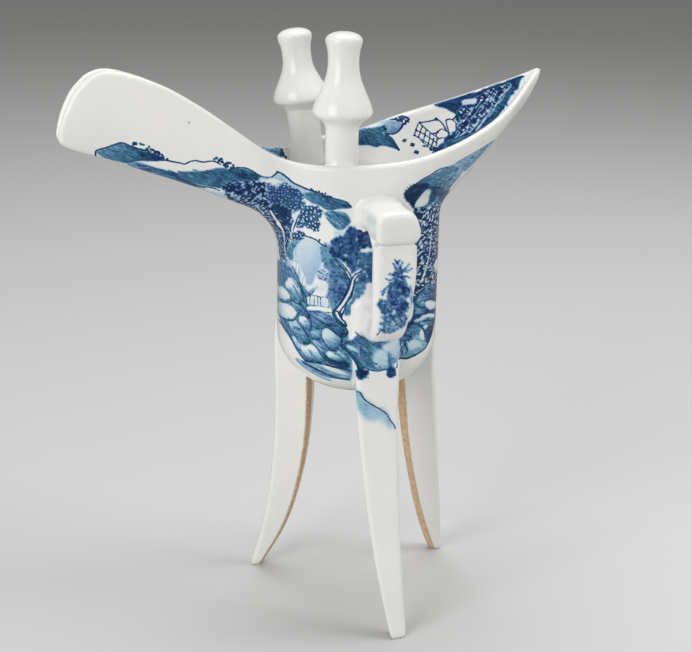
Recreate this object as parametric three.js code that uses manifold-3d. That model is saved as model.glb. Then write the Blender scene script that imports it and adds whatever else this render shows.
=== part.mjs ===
// Three-legged libation cup (jue) of glazed porcelain.
// Millimetres, +Z up.  The design frame has its origin on the cup's axis at the
// level of the feet: spout towards -X, tail towards +X, handle towards -Y.
// The whole assembly is moved at the end so that the origin is the centre of
// its bounding box on the standing plane.
import * as THREE from 'three';
import Module from 'manifold-3d';
import { mergeVertices } from 'three/addons/utils/BufferGeometryUtils.js';

// ---------------------------------------------------------------- dimensions
const JOINT_GAP = 0.3;          // clearance left between luted pieces
const CUP_R = 21.4;             // outer radius of the cup
const CUP_WALL = 3.0;           // wall of the cup
const CUP_BOTTOM_Z = 62.0;      // lowest point of the rounded cup bottom
const CUP_ROUND_Z = 78.0;       // height where the bottom becomes a cylinder
const CUP_FLOOR = 4.0;          // thickness of the cup bottom
const TROUGH_WALL = 2.6;        // wall of spout and tail
const SPOUT_SECTION = 2.35;     // roundness of the U section of the spout
const TAIL_SECTION = 1.3;       // roundness of the keeled section of the tail

const HANDLE_X = -0.4;          // middle of the handle
const HANDLE_HALF_WIDTH = 4.8;
const HANDLE_OUT_R = 35.0;      // outer face of the strap, from the cup axis
const HANDLE_IN_R = 30.6;       // inner face of the strap
const HEAD_TOP_Z = 119.2;
const HEAD_BOTTOM_Z = 110.9;
const HEAD_FRONT_R = 36.4;
const HEAD_HALF_WIDTH = 5.15;

const POST_STEM_R = 4.1;
const POST_SPLIT = 11.0;        // height of the stem's shoulder above the rim
const TENON_R = 2.2;
const TENON_LEN = 5.0;
const SOCKET_LEN = 5.6;

// height of the rim on the handle side along X
const RIM_Z = [[-70, 147.6], [-68.4, 148.7], [-66.9, 149.4], [-65.2, 149.7], [-62.7, 149.6], [-59.4, 148.8],
  [-55, 147.4], [-49.7, 145.1], [-45.5, 142.6], [-41.8, 140.3], [-38.1, 137.7], [-34.6, 135.2],
  [-31.3, 132.8], [-28.2, 130.5], [-25, 128.8], [-21.9, 127.7], [-19, 127.1], [-14.7, 126.9],
  [-10, 127.0], [-5, 127.3], [0, 127.6], [5, 128.2], [10, 129.3], [15, 131.0], [20, 132.7],
  [25, 134.5], [30, 136.5], [35, 138.9], [40, 141.7], [44, 144.1], [47, 146.0], [49.2, 147.3], [52, 149.0]];
// half width of the mouth at the rim along X
const RIM_W = [[-92, 6.4], [-76, 7.0], [-66, 7.5], [-55, 8.3], [-45, 9.4], [-35, 11.0], [-28, 12.3],
  [-24, 12.9], [-20, 14.6], [-16, 17.3], [-12, 19.5], [-8, 21.0], [-4, 21.9], [0, 22.5], [5, 23.4],
  [10, 24.1], [15, 24.4], [20, 23.6], [25, 21.6], [30, 19.0], [35, 15.5], [40, 10.7], [44, 6.3],
  [47, 3.0], [49.2, 0.9]];
// underside of spout and tail along X, on the median plane
const KEEL_OUT = [[-92, 135.5], [-74, 129.6], [-66.7, 127.8], [-62, 126.2], [-57, 124.3], [-47.2, 120.8],
  [-37.1, 116.6], [-32, 114.3], [-29.4, 112.8], [-26.8, 111.0], [-24.2, 108.4], [-22.9, 106.2],
  [-21.6, 103.4], [-15, 102.5], [8, 102.5], [15, 106.4], [18, 109.0], [20, 110.9], [22, 112.9], [25, 115.9],
  [28, 119.0], [31.5, 122.7], [36, 127.4], [40, 131.6], [43, 134.9], [46, 138.8], [48, 142.3], [49.2, 145.4]];
// floor of the channel along X, on the median plane
const KEEL_IN = [[-92, 138.6], [-74, 132.5], [-66.7, 130.7], [-57, 127.3], [-47.2, 123.8], [-37.1, 119.7],
  [-32, 117.4], [-28, 115.2], [-24.5, 112.4], [-21.5, 109.0], [-19.5, 105.5], [-17, 101.5], [-12, 100.5],
  [8, 100.5], [12, 108.2], [15, 110.4], [18, 112.9], [21, 115.8], [25, 119.9], [28, 123.0],
  [31.5, 126.8], [36, 131.9], [40, 136.0], [42.5, 139.0], [44.5, 142.0], [46, 144.6]];
// sideways lean of the spout: the handle side stands a little higher
const LEAN = [[-92, 0.085], [-30, 0.085], [-20, 0.05], [-8, 0], [60, 0]];
// front edge of the spout in side view, from the top corner to the keel
const SPOUT_END = [[-68.4, 148.7], [-70.7, 146.6], [-72.6, 144.5], [-73.9, 142.2], [-75.0, 139.9],
  [-75.8, 137.6], [-76.4, 135.4], [-76.7, 133.6], [-76.6, 132.2], [-75.6, 131.0], [-74.1, 129.9], [-71.5, 128.4]];

// legs: azimuth (degrees) and distance of the section's middle from the cup axis, by height
const LEGS = {
  leg_front: {
    az: [[0, -82.42], [3, -82.78], [7, -83.34], [12, -84.28], [20, -85.48], [28, -86.68], [37, -88.08], [47, -89.43], [57, -90.79], [66, -91.51], [82, -91.63]],
    r: [[0, 31.26], [3, 30.32], [7, 29.06], [12, 27.53], [20, 25.35], [28, 23.57], [37, 22.02], [47, 20.82], [57, 19.9], [66, 19.25], [73, 19.27], [78, 19.63], [82, 19.91]],
  },
  leg_rear_left: {
    az: [[0, 143.16], [3, 142.7], [7, 142.04], [12, 141.09], [20, 139.59], [28, 138.17], [37, 136.65], [47, 135.31], [57, 134.34], [66, 133.72], [82, 133.2]],
    r: [[0, 30.29], [3, 29.07], [7, 27.45], [12, 25.46], [20, 23.06], [28, 21.41], [37, 20.03], [47, 19.15], [57, 18.84], [66, 19.08], [73, 19.4], [78, 19.7], [82, 19.95]],
  },
  leg_rear_right: {
    az: [[0, 25.47], [3, 25.2], [7, 24.71], [12, 23.88], [20, 22.31], [28, 20.61], [37, 19.23], [47, 18.26], [57, 17.46], [66, 16.79], [82, 16.2]],
    r: [[0, 33.8], [3, 32.75], [7, 31.37], [12, 29.73], [20, 27.23], [28, 25.09], [37, 23.08], [47, 21.39], [57, 20.0], [66, 18.8], [73, 19.0], [78, 19.5], [82, 19.9]],
  },
};
// leg section by height: [z, width of the outer face, depth, width of the bare inner face]
const LEG_SECTION = [[0, 3.6, 2.3, 2.6], [0.7, 4.4, 2.95, 3.2], [3, 4.88, 3.67, 3.35], [7, 5.52, 4.8, 3.41], [12, 6.26, 6.01, 3.44], [20, 7.3, 7.28, 3.35],
  [28, 8.22, 8.06, 3.25], [37, 9.1, 8.8, 3.42], [47, 9.96, 9.24, 3.87], [57, 10.67, 9.33, 4.39], [65.2, 11.2, 9.33, 4.7], [73, 11.5, 8.7, 5.4],
  [78, 11.2, 7.0, 6.2], [81.5, 10.3, 4.6, 6.5]];

// -------------------------------------------------------------------- helpers
const wasm = await Module();
wasm.setup();

// smooth monotone interpolation through [x, value] pairs
function curve(pts) {
  const n = pts.length, d = [], m = [];
  for (let i = 0; i < n - 1; i++) d.push((pts[i + 1][1] - pts[i][1]) / (pts[i + 1][0] - pts[i][0]));
  for (let i = 0; i < n; i++) {
    if (i === 0) m.push(d[0]);
    else if (i === n - 1) m.push(d[n - 2]);
    else if (d[i - 1] * d[i] <= 0) m.push(0);
    else {
      const h0 = pts[i][0] - pts[i - 1][0], h1 = pts[i + 1][0] - pts[i][0];
      const w1 = 2 * h1 + h0, w2 = h1 + 2 * h0;
      m.push((w1 + w2) / (w1 / d[i - 1] + w2 / d[i]));
    }
  }
  return (x) => {
    if (x <= pts[0][0]) return pts[0][1];
    if (x >= pts[n - 1][0]) return pts[n - 1][1];
    let i = 0;
    while (x > pts[i + 1][0]) i++;
    const h = pts[i + 1][0] - pts[i][0], t = (x - pts[i][0]) / h;
    return (1 + 2 * t) * (1 - t) ** 2 * pts[i][1] + t * (1 - t) ** 2 * h * m[i]
      + t * t * (3 - 2 * t) * pts[i + 1][1] + t * t * (t - 1) * h * m[i + 1];
  };
}

function solid(geometry) {
  const g0 = geometry.clone();
  g0.deleteAttribute('normal');
  g0.deleteAttribute('uv');
  const g = mergeVertices(g0, 1e-4);
  const pos = g.attributes.position.array, idx = g.index.array, tri = [];
  let vol = 0;
  for (let i = 0; i < idx.length; i += 3) {
    const a = idx[i], b = idx[i + 1], c = idx[i + 2];
    if (a === b || b === c || a === c) continue;
    tri.push(a, b, c);
    const A = new THREE.Vector3().fromArray(pos, a * 3), B = new THREE.Vector3().fromArray(pos, b * 3), C = new THREE.Vector3().fromArray(pos, c * 3);
    vol += A.dot(B.cross(C));
  }
  if (vol < 0) for (let i = 0; i < tri.length; i += 3) { const s = tri[i]; tri[i] = tri[i + 1]; tri[i + 1] = s; }
  return new wasm.Manifold(new wasm.Mesh({ numProp: 3, vertProperties: new Float32Array(pos), triVerts: new Uint32Array(tri) }));
}

function shell(body) {
  const m = body.getMesh();
  const g = new THREE.BufferGeometry();
  const n = m.vertProperties.length / m.numProp, p = new Float32Array(n * 3);
  for (let i = 0; i < n; i++) for (let k = 0; k < 3; k++) p[i * 3 + k] = m.vertProperties[i * m.numProp + k];
  g.setAttribute('position', new THREE.BufferAttribute(p, 3));
  g.setIndex(Array.from(m.triVerts));
  return g;
}

// closed solid through a row of closed sections with the same number of points
function loft(sections) {
  const n = sections[0].length, pos = [], idx = [];
  for (const s of sections) for (const p of s) pos.push(p.x, p.y, p.z);
  for (let j = 0; j < sections.length - 1; j++) for (let i = 0; i < n; i++) {
    const a = j * n + i, b = j * n + (i + 1) % n, c = a + n, d = b + n;
    idx.push(a, b, d, a, d, c);
  }
  for (const [j, flip] of [[0, true], [sections.length - 1, false]]) {
    const s = sections[j], cen = s.reduce((q, p) => q.add(p), new THREE.Vector3()).multiplyScalar(1 / n);
    const c0 = pos.length / 3;
    pos.push(cen.x, cen.y, cen.z);
    for (let i = 0; i < n; i++) {
      const a = j * n + i, b = j * n + (i + 1) % n;
      if (flip) idx.push(c0, b, a); else idx.push(c0, a, b);
    }
  }
  const g = new THREE.BufferGeometry();
  g.setAttribute('position', new THREE.Float32BufferAttribute(pos, 3));
  g.setIndex(idx);
  return g;
}

const lathe = (pts, seg) => new THREE.LatheGeometry(pts.map((p) => new THREE.Vector2(p[0], p[1])), seg).rotateX(Math.PI / 2);

function block(x0, x1, y0, y1, z0, z1) {
  return new THREE.BoxGeometry(x1 - x0, y1 - y0, z1 - z0).translate((x0 + x1) / 2, (y0 + y1) / 2, (z0 + z1) / 2);
}

// half space beyond a plane square to the XZ plane, as a large block
function beyond(px, pz, nx, nz, shift) {
  const l = Math.hypot(nx, nz);
  const g = new THREE.BoxGeometry(120, 120, 120).translate(60 + shift, 0, 0);
  g.rotateY(-Math.atan2(nz / l, nx / l));
  return solid(g.translate(px, 0, pz));
}

// ------------------------------------------------------- cup, spout and tail
const rimZ = curve(RIM_Z), rimW = curve(RIM_W), keelOut = curve(KEEL_OUT), keelIn = curve(KEEL_IN), lean = curve(LEAN);
const section = curve([[-92, SPOUT_SECTION], [-10, SPOUT_SECTION], [15, TAIL_SECTION], [60, TAIL_SECTION]]);
const rimMean = (x) => rimZ(x) - lean(x) * rimW(x);

function troughSection(x, w, keel, n) {
  const rim = Math.max(rimMean(x), keel + 0.4), e = 2 / section(x), pts = [];
  pts.push([-w, rim + 14]);
  for (let i = 0; i <= n; i++) {
    const a = Math.PI * (1 - i / n), c = Math.cos(a), s = Math.max(0, Math.sin(a));
    pts.push([w * Math.sign(c) * Math.abs(c) ** e, rim - (rim - keel) * s ** e]);
  }
  pts.push([w, rim + 14]);
  return pts.map(([y, z]) => new THREE.Vector3(x, y, z - lean(x) * y));
}

const OUT_X = [-86, -77.5, -72, -66, -60, -52, -44, -37, -32, -28.5, -26, -24, -22.5, -20, -16, -11, -5, 0, 5, 10, 15, 18.5, 21, 22.5, 24, 26.5, 30, 34, 38, 41.5, 44.5, 47, 48.5, 49.2];
const IN_X = [-90, -77.5, -70, -62, -53, -45, -38, -32, -28, -24.5, -21.5, -19, -15, -10, -5, 0, 5, 10, 14, 17.5, 19.5, 21.5, 24, 27, 31, 35, 38.5, 41.5, 44, 45.6];
const innerW = (x) => {
  const s = (rimW(x + 0.5) - rimW(x - 0.5)) / 1.0;
  return Math.max(0.35, rimW(x) - TROUGH_WALL * Math.hypot(1, s));
};

function cupProfile(r, zb, zr, top) {
  const pts = [];
  for (let i = 0; i <= 8; i++) {
    const a = (Math.PI / 2) * (i / 8);
    pts.push([i === 0 ? 0 : r * Math.sin(a), zr - (zr - zb) * Math.cos(a)]);
  }
  pts.push([r, top], [0, top]);
  return pts;
}

function outerBody(grow, seg) {
  const cup = solid(lathe(cupProfile(CUP_R + grow, CUP_BOTTOM_Z - grow, CUP_ROUND_Z, 124), seg));
  const trough = solid(loft(OUT_X.map((x) => troughSection(x, rimW(x) + grow, keelOut(x) - grow, 20))));
  return cup.add(trough);
}
function innerBody(shrink, seg) {
  const cup = solid(lathe(cupProfile(CUP_R - CUP_WALL - shrink, CUP_BOTTOM_Z + CUP_FLOOR + shrink, CUP_ROUND_Z, 124), seg));
  const trough = solid(loft(IN_X.map((x) => troughSection(x, Math.max(0.3, innerW(x) - shrink), keelIn(x) + shrink, 18))));
  return cup.add(trough);
}

// everything under the rim line, as a sheared extrusion of the side view
function underRim(raise) {
  const top = [];
  for (let x = 52; x > -68; x -= x > 20 || x < -20 ? 3.4 : 5) top.push([x, rimZ(x) + raise]);
  const pts = [...top, ...SPOUT_END.map(([x, z]) => [x - raise * 0.7, z + raise * 0.7]), [-66, 118], [-60, 50], [52, 50]];
  const g = new THREE.ExtrudeGeometry(new THREE.Shape(pts.map((p) => new THREE.Vector2(p[0], p[1]))), { depth: 100, steps: 1, bevelEnabled: false });
  g.translate(0, 0, -50).rotateX(Math.PI / 2);
  const p = g.attributes.position;
  for (let i = 0; i < p.count; i++) {
    const x = p.getX(i), k = lean(x);
    if (p.getZ(i) > 112) p.setZ(i, p.getZ(i) - k * rimW(x) - k * p.getY(i));
  }
  return solid(g);
}

const SEG = 52;
const body = outerBody(0, SEG).subtract(innerBody(0, SEG)).intersect(underRim(0));
const SPOUT_CUT = [-21.0, 110.0, -0.94, 0.34], TAIL_CUT = [20.6, 112.0, 0.94, 0.34];
const half = JOINT_GAP / 2;
const onlyAbove = solid(block(-120, 120, -60, 60, 96, 190));
const spout = body.intersect(beyond(...SPOUT_CUT, half)).intersect(onlyAbove);
const tail = body.intersect(beyond(...TAIL_CUT, half)).intersect(onlyAbove);
const cup = body.subtract(beyond(...SPOUT_CUT, -half).intersect(onlyAbove)).subtract(beyond(...TAIL_CUT, -half).intersect(onlyAbove));

// solids used to shape the seats of the luted pieces
const cupSeat = outerBody(JOINT_GAP, SEG);
const wallSeat = outerBody(JOINT_GAP, SEG).subtract(innerBody(JOINT_GAP, SEG)).intersect(underRim(JOINT_GAP));

// ----------------------------------------------------------------------- posts
const NEAR_POST = { base: new THREE.Vector3(-9.1, -15.2, 127.0), top: new THREE.Vector3(-8.9, -15.4, 158.9) };
const FAR_POST = { base: new THREE.Vector3(-10.2, 15.1, 124.9), top: new THREE.Vector3(-13.7, 16.4, 156.6) };

const STEM = [[0, -5.5], [POST_STEM_R - 0.7, -5.5], [POST_STEM_R, -4.8], [POST_STEM_R, 9], [POST_STEM_R + 0.25, 10.4], [POST_STEM_R + 0.3, POST_SPLIT],
  [TENON_R, POST_SPLIT], [TENON_R, POST_SPLIT + TENON_LEN - 0.4], [TENON_R - 0.4, POST_SPLIT + TENON_LEN], [0, POST_SPLIT + TENON_LEN]];
const CAP = [[TENON_R + JOINT_GAP, POST_SPLIT + SOCKET_LEN], [TENON_R + JOINT_GAP, POST_SPLIT + JOINT_GAP], [4.5, POST_SPLIT + JOINT_GAP], [5.6, 12.1], [6.9, 13.1],
  [7.4, 13.75], [7.35, 14.6], [6.8, 16.1], [5.6, 18.5], [4.5, 20.8], [3.95, 22.8], [3.8, 25.2], [3.95, 27.6],
  [4.3, 29.3], [4.45, 30.4], [4.2, 31.1], [3.4, 31.65], [1.9, 31.9], [0, 31.95]];
CAP.unshift([0, POST_SPLIT + SOCKET_LEN]);

function onPost(post, pts) {
  const dir = post.top.clone().sub(post.base).normalize();
  const q = new THREE.Quaternion().setFromUnitVectors(new THREE.Vector3(0, 0, 1), dir);
  return lathe(pts, 26).applyQuaternion(q).translate(post.base.x, post.base.y, post.base.z);
}
const postStem = (post) => solid(onPost(post, STEM)).subtract(wallSeat);
const postCap = (post) => solid(onPost(post, CAP));

// ---------------------------------------------------------------------- handle
// side profile in (distance from the cup axis, height), given width along X
function handleBody(shape, halfWidth, bevel) {
  const g = new THREE.ExtrudeGeometry(shape, { depth: 2 * (halfWidth - bevel), steps: 1, curveSegments: 7, bevelEnabled: true, bevelThickness: bevel, bevelSize: bevel, bevelOffset: -bevel, bevelSegments: 2 });
  g.translate(0, 0, -(halfWidth - bevel));
  const p = g.attributes.position;
  for (let i = 0; i < p.count; i++) p.setXYZ(i, p.getZ(i) + HANDLE_X, -p.getX(i), p.getY(i));
  return solid(g);
}
const strapShape = new THREE.Shape();
strapShape.moveTo(HANDLE_IN_R, HEAD_BOTTOM_Z - JOINT_GAP);
strapShape.bezierCurveTo(HANDLE_IN_R + 0.3, 105, HANDLE_IN_R + 0.5, 101, 30.3, 96.2);
strapShape.bezierCurveTo(29.4, 92.6, 26.5, 91.4, 20.0, 92.0);
strapShape.lineTo(20.0, 83.4);
strapShape.bezierCurveTo(26.0, 83.2, 31.2, 83.6, 33.4, 88.0);
strapShape.bezierCurveTo(35.6, 93.5, 35.5, 102, HANDLE_OUT_R, HEAD_BOTTOM_Z - JOINT_GAP);
strapShape.closePath();
const TONGUE = [HANDLE_X - 2.6, HANDLE_X + 2.6, -(HANDLE_OUT_R - 1.1), -(HANDLE_IN_R + 1.1), HEAD_BOTTOM_Z - 1.2, HEAD_BOTTOM_Z + 3.2];
const strapTongue = solid(block(...TONGUE));
const tongueSlot = solid(block(TONGUE[0] - JOINT_GAP, TONGUE[1] + JOINT_GAP, TONGUE[2] - JOINT_GAP, TONGUE[3] + JOINT_GAP, HEAD_BOTTOM_Z - 3, HEAD_BOTTOM_Z + 3.2 + JOINT_GAP));
const strap = handleBody(strapShape, HANDLE_HALF_WIDTH, 1.1).add(strapTongue).subtract(cupSeat);

const headShape = new THREE.Shape();
headShape.moveTo(20.0, HEAD_TOP_Z + 0.2);
headShape.lineTo(34.8, HEAD_TOP_Z);
headShape.quadraticCurveTo(HEAD_FRONT_R, HEAD_TOP_Z - 0.1, HEAD_FRONT_R + 0.1, HEAD_TOP_Z - 2.0);
headShape.quadraticCurveTo(HEAD_FRONT_R + 0.5, HEAD_BOTTOM_Z + 3.8, HEAD_FRONT_R - 0.3, HEAD_BOTTOM_Z + 0.8);
headShape.lineTo(HEAD_FRONT_R - 1.0, HEAD_BOTTOM_Z);
headShape.lineTo(29.4, HEAD_BOTTOM_Z);
headShape.quadraticCurveTo(26.5, HEAD_BOTTOM_Z + 0.8, 20.0, HEAD_BOTTOM_Z + 0.2);
headShape.closePath();
const head = handleBody(headShape, HEAD_HALF_WIDTH, 0.9).subtract(tongueSlot).subtract(cupSeat);

// ------------------------------------------------------------------------ legs
// rounded outline of a leg: broad outer face, sides that close in, narrow inner face; [outwards, sideways] pairs
function legOutline(width, depth, inner) {
  const ro = Math.min(1.5, 0.32 * Math.min(width, depth)), ri = Math.min(0.6, 0.4 * inner);
  const ax = depth / 2 - ro, ay = width / 2 - ro, bx = -depth / 2 + ri, by = inner / 2 - ri;
  const side = Math.atan2(by - ay, bx - ax) - Math.acos((ro - ri) / Math.hypot(bx - ax, by - ay));
  const half = [];
  for (let i = 0; i <= 4; i++) half.push([ax + ro * Math.cos((side * i) / 4), ay + ro * Math.sin((side * i) / 4)]);
  for (let i = 0; i <= 2; i++) {
    const a = side + ((Math.PI - side) * i) / 2;
    half.push([bx + ri * Math.cos(a), by + ri * Math.sin(a)]);
  }
  return [...half, ...half.map(([q, t]) => [q, -t]).reverse()];
}

function leg({ az, r }) {
  const azimuth = curve(az), middle = curve(r);
  const sections = LEG_SECTION.map(([z, width, depth, inner]) => {
    const a = THREE.MathUtils.degToRad(azimuth(z)), m = middle(z);
    return legOutline(width, depth, inner).map(([q, t]) =>
      new THREE.Vector3((m + q) * Math.cos(a) - t * Math.sin(a), (m + q) * Math.sin(a) + t * Math.cos(a), z));
  });
  return solid(loft(sections)).subtract(cupSeat);
}

// -------------------------------------------------------------------- assembly
const PAINTED = { color: 0x9fb4cc, roughness: 0.16, metalness: 0 };
const WHITE = { color: 0xeef0ee, roughness: 0.14, metalness: 0 };
const pieces = [
  ['cup', cup, PAINTED], ['spout', spout, PAINTED], ['tail', tail, PAINTED],
  ['post_near_stem', postStem(NEAR_POST), WHITE], ['post_near_cap', postCap(NEAR_POST), WHITE],
  ['post_far_stem', postStem(FAR_POST), WHITE], ['post_far_cap', postCap(FAR_POST), WHITE],
  ['handle_head', head, WHITE], ['handle_strap', strap, PAINTED],
  ...Object.entries(LEGS).map(([name, spec]) => [name, leg(spec), name === 'leg_front' ? PAINTED : WHITE]),
];

const geometries = pieces.map(([, s]) => shell(s));
const box = new THREE.Box3();
for (const g of geometries) { g.computeBoundingBox(); box.union(g.boundingBox); }
const SHIFT = new THREE.Vector3(-(box.min.x + box.max.x) / 2, -(box.min.y + box.max.y) / 2, -box.min.z);

const vessel = new THREE.Group();
vessel.name = 'jue_vessel';
pieces.forEach(([name, , look], i) => {
  const g = geometries[i].translate(SHIFT.x, SHIFT.y, SHIFT.z);
  g.computeVertexNormals();
  const mesh = new THREE.Mesh(g, new THREE.MeshStandardMaterial(look));
  mesh.name = name;
  vessel.add(mesh);
});

export default vessel;
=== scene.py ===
import math

import bmesh
import bpy
import numpy as np
from mathutils import Matrix, Vector
from mathutils.bvhtree import BVHTree


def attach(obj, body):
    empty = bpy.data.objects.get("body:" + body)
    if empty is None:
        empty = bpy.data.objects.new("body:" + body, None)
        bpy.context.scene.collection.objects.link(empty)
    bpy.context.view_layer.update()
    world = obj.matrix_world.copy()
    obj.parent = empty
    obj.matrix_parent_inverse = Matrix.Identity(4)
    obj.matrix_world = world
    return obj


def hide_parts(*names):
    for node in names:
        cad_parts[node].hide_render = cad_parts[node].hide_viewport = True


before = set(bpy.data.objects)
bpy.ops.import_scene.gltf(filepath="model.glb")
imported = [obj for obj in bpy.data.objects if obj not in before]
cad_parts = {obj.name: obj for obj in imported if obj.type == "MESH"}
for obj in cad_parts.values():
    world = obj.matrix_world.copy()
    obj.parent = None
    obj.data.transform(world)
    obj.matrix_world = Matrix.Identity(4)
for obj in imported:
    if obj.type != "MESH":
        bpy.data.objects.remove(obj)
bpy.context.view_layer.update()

# Shapes are worked out in millimetres with the origin on the cup's axis at floor level: the spout points to -X, the
# tail to +X and the handle to -Y. OFFSET moves that to the part's own frame.
OFFSET = np.array([13.7422, 6.1862, 0.0])
rng = np.random.default_rng(20)


# ------------------------------------------------------------------ curves
def curve(points, soft=0.0):
    """Smooth curve that keeps the rises and falls of its points; soft is a smoothing length."""
    xs, ys = np.array(points, float).T
    h = np.diff(xs)
    d = np.diff(ys) / h
    m = np.concatenate([[d[0]], np.zeros(len(xs) - 2), [d[-1]]])
    for i in range(1, len(xs) - 1):
        if d[i - 1] * d[i] > 0:
            m[i] = 3 * (h[i - 1] + h[i]) / ((2 * h[i] + h[i - 1]) / d[i - 1] + (h[i] + 2 * h[i - 1]) / d[i])
    step = 0.04
    X = np.arange(xs[0], xs[-1] + step / 2, step)
    k = np.clip(np.searchsorted(xs, X, side="right") - 1, 0, len(xs) - 2)
    t = (X - xs[k]) / h[k]
    Y = (ys[k] * (1 + 2 * t) * (1 - t) ** 2 + m[k] * h[k] * t * (1 - t) ** 2
         + ys[k + 1] * t * t * (3 - 2 * t) + m[k + 1] * h[k] * t * t * (t - 1))
    if soft:
        n = int(3 * soft / step)
        g = np.exp(-0.5 * (np.arange(-n, n + 1) * step / soft) ** 2)
        padded = np.concatenate([2 * Y[0] - Y[n:0:-1], Y, 2 * Y[-1] - Y[-2:-n - 2:-1]])
        Y = np.convolve(padded, g / g.sum(), mode="valid")
    return lambda x: np.interp(x, X, Y)


def ramp(x, a, b):
    t = np.clip((x - a) / (b - a), 0, 1)
    return t * t * (3 - 2 * t)


# ------------------------------------------------------- cup, spout and tail
CUP_R, CUP_BOTTOM, CUP_ROUND = 21.4, 62.0, 78.0
WALL = 2.7
RIM_Z = [[-92, 147.6], [-70, 147.6], [-68.4, 148.7], [-66.9, 149.4], [-65.2, 149.7], [-62.7, 149.6], [-59.4, 148.8], [-55, 147.4],
         [-49.7, 145.1], [-45.5, 142.6], [-41.8, 140.3], [-38.1, 137.7], [-34.6, 135.2], [-31.3, 132.8], [-28.2, 130.5],
         [-25, 128.8], [-21.9, 127.7], [-19, 127.1], [-14.7, 126.9], [-10, 127], [-5, 127.3], [0, 127.6], [5, 128.2],
         [10, 129.3], [15, 131], [20, 132.7], [25, 134.5], [30, 136.5], [35, 138.9], [40, 141.7], [44, 144.1], [47, 146],
         [49.2, 147.3], [52, 149], [60, 153]]
RIM_W = [[-92, 6.4], [-76, 7], [-66, 7.5], [-55, 8.3], [-45, 9.4], [-35, 11], [-28, 12.3], [-24, 12.9], [-20, 14.6],
         [-16, 17.3], [-12, 19.5], [-8, 21], [-4, 21.9], [0, 22.5], [5, 23.4], [10, 24.1], [15, 24.4], [20, 23.6],
         [25, 21.6], [30, 19], [35, 15.5], [40, 10.7], [44, 6.3], [47, 3], [49.2, 1.2], [54, 0.6]]
KEEL = [[-92, 135.5], [-74, 129.6], [-66.7, 127.8], [-62, 126.2], [-57, 124.3], [-47.2, 120.8], [-37.1, 116.6],
        [-32, 114.4], [-22, 110.5], [-10, 106.3], [0, 104.0], [6, 103.6], [10, 104.6], [15, 107.2], [18, 109.4],
        [20, 111], [22, 112.9], [25, 115.9], [28, 119], [31.5, 122.7], [36, 127.4], [40, 131.6], [43, 134.9],
        [46, 138.8], [48, 142.3], [49.2, 145.0], [54, 152]]
LEAN = [[-92, .085], [-30, .085], [-20, .05], [-8, 0], [60, 0]]
END_X = [[118, -64], [126.5, -68], [128.4, -71.3], [129.8, -74.0], [130.8, -75.5], [131.8, -76.4], [133.1, -76.7],
         [134.8, -76.4], [137.0, -75.8], [139.3, -75.0], [141.6, -73.9], [143.9, -72.6], [146, -70.7], [148.1, -68.2],
         [149.2, -65], [150, -60]]

rim_z, rim_w, keel_z = curve(RIM_Z, 1.2), curve(RIM_W, 1.2), curve(KEEL, 1.2)
lean_at, end_x = curve(LEAN, 2.0), curve(END_X, 0.5)
power_at = curve([[-92, 2.35], [-10, 2.35], [15, 1.42], [60, 1.36]], 2.0)


def rim_mean(x):
    return rim_z(x) - lean_at(x) * rim_w(x)


def trough_raw(x, y, z):
    n, w, rim = power_at(x), rim_w(x), rim_mean(x)
    soft = 0.9
    a = (np.sqrt(y * y + soft * soft) - soft) / (np.sqrt(w * w + soft * soft) - soft)
    v = np.clip((rim - z - lean_at(x) * y) / np.maximum(rim - keel_z(x), 1.0), 0, None)
    return (a ** n + v ** n) ** (1 / n) - 1


def trough(x, y, z):
    e = 0.08
    f = trough_raw(x, y, z)
    gx = (trough_raw(x + e, y, z) - trough_raw(x - e, y, z)) / (2 * e)
    gy = (trough_raw(x, y + e, z) - trough_raw(x, y - e, z)) / (2 * e)
    gz = (trough_raw(x, y, z + e) - trough_raw(x, y, z - e)) / (2 * e)
    g = np.sqrt(gx * gx + gy * gy + gz * gz) + 1e-4
    return f / g, gx / g, gy / g


def round_cup(x, y, z):
    a = np.sqrt(x * x + y * y) / CUP_R
    q = np.clip((CUP_ROUND - z) / (CUP_ROUND - CUP_BOTTOM), 0, None)
    k0 = np.sqrt(a * a + q * q)
    k1 = np.sqrt((a / CUP_R) ** 2 + (q / (CUP_ROUND - CUP_BOTTOM)) ** 2)
    return k0 * (k0 - 1) / np.maximum(k1, 1e-6)


def smooth_min(a, b, k):
    h = np.clip(k - np.abs(a - b), 0, None) / k
    return np.minimum(a, b) - h * h * k / 4


def round_both(a, b, r):
    """Inside of both a and b, with the edge between them rounded."""
    return np.minimum(-r, np.maximum(a, b)) + np.hypot(np.clip(a + r, 0, None), np.clip(b + r, 0, None))


def body(x, y, z):
    """The filled outer form: cup, spout and tail run together with slip fillets."""
    c = round_cup(x, y, z)
    t, nx, ny = trough(x, y, z)
    facing = (nx * x + ny * y) / (np.sqrt(x * x + y * y) + 1e-6)
    k = (7.0 + 7.0 * ramp(-x, -6, 8)) * np.clip(1.06 - facing, 0.02, 1)
    return smooth_min(c, t, k)


def lip(x, y, z):
    zs = z + lean_at(x) * y
    e = 0.4
    slope = (rim_mean(x + e) - rim_mean(x - e)) / (2 * e)
    top = (zs - rim_mean(x)) / np.sqrt(1 + slope * slope)
    slope = (end_x(zs + e) - end_x(zs - e)) / (2 * e)
    end = (end_x(zs) - x) / np.sqrt(1 + slope * slope)
    return -smooth_min(-np.maximum(top, end), -(x - 49.6), 1.6)


def shell(x, y, z):
    wall = np.abs(body(x, y, z) + WALL / 2) - WALL / 2
    return round_both(wall, lip(x, y, z), 1.22)


# ----------------------------------------------------------------- meshing
def gradient(field, P, e=0.07):
    x, y, z = P.T
    return np.stack([field(x + e, y, z) - field(x - e, y, z), field(x, y + e, z) - field(x, y - e, z),
                     field(x, y, z + e) - field(x, y, z - e)], 1) / (2 * e)


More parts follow.
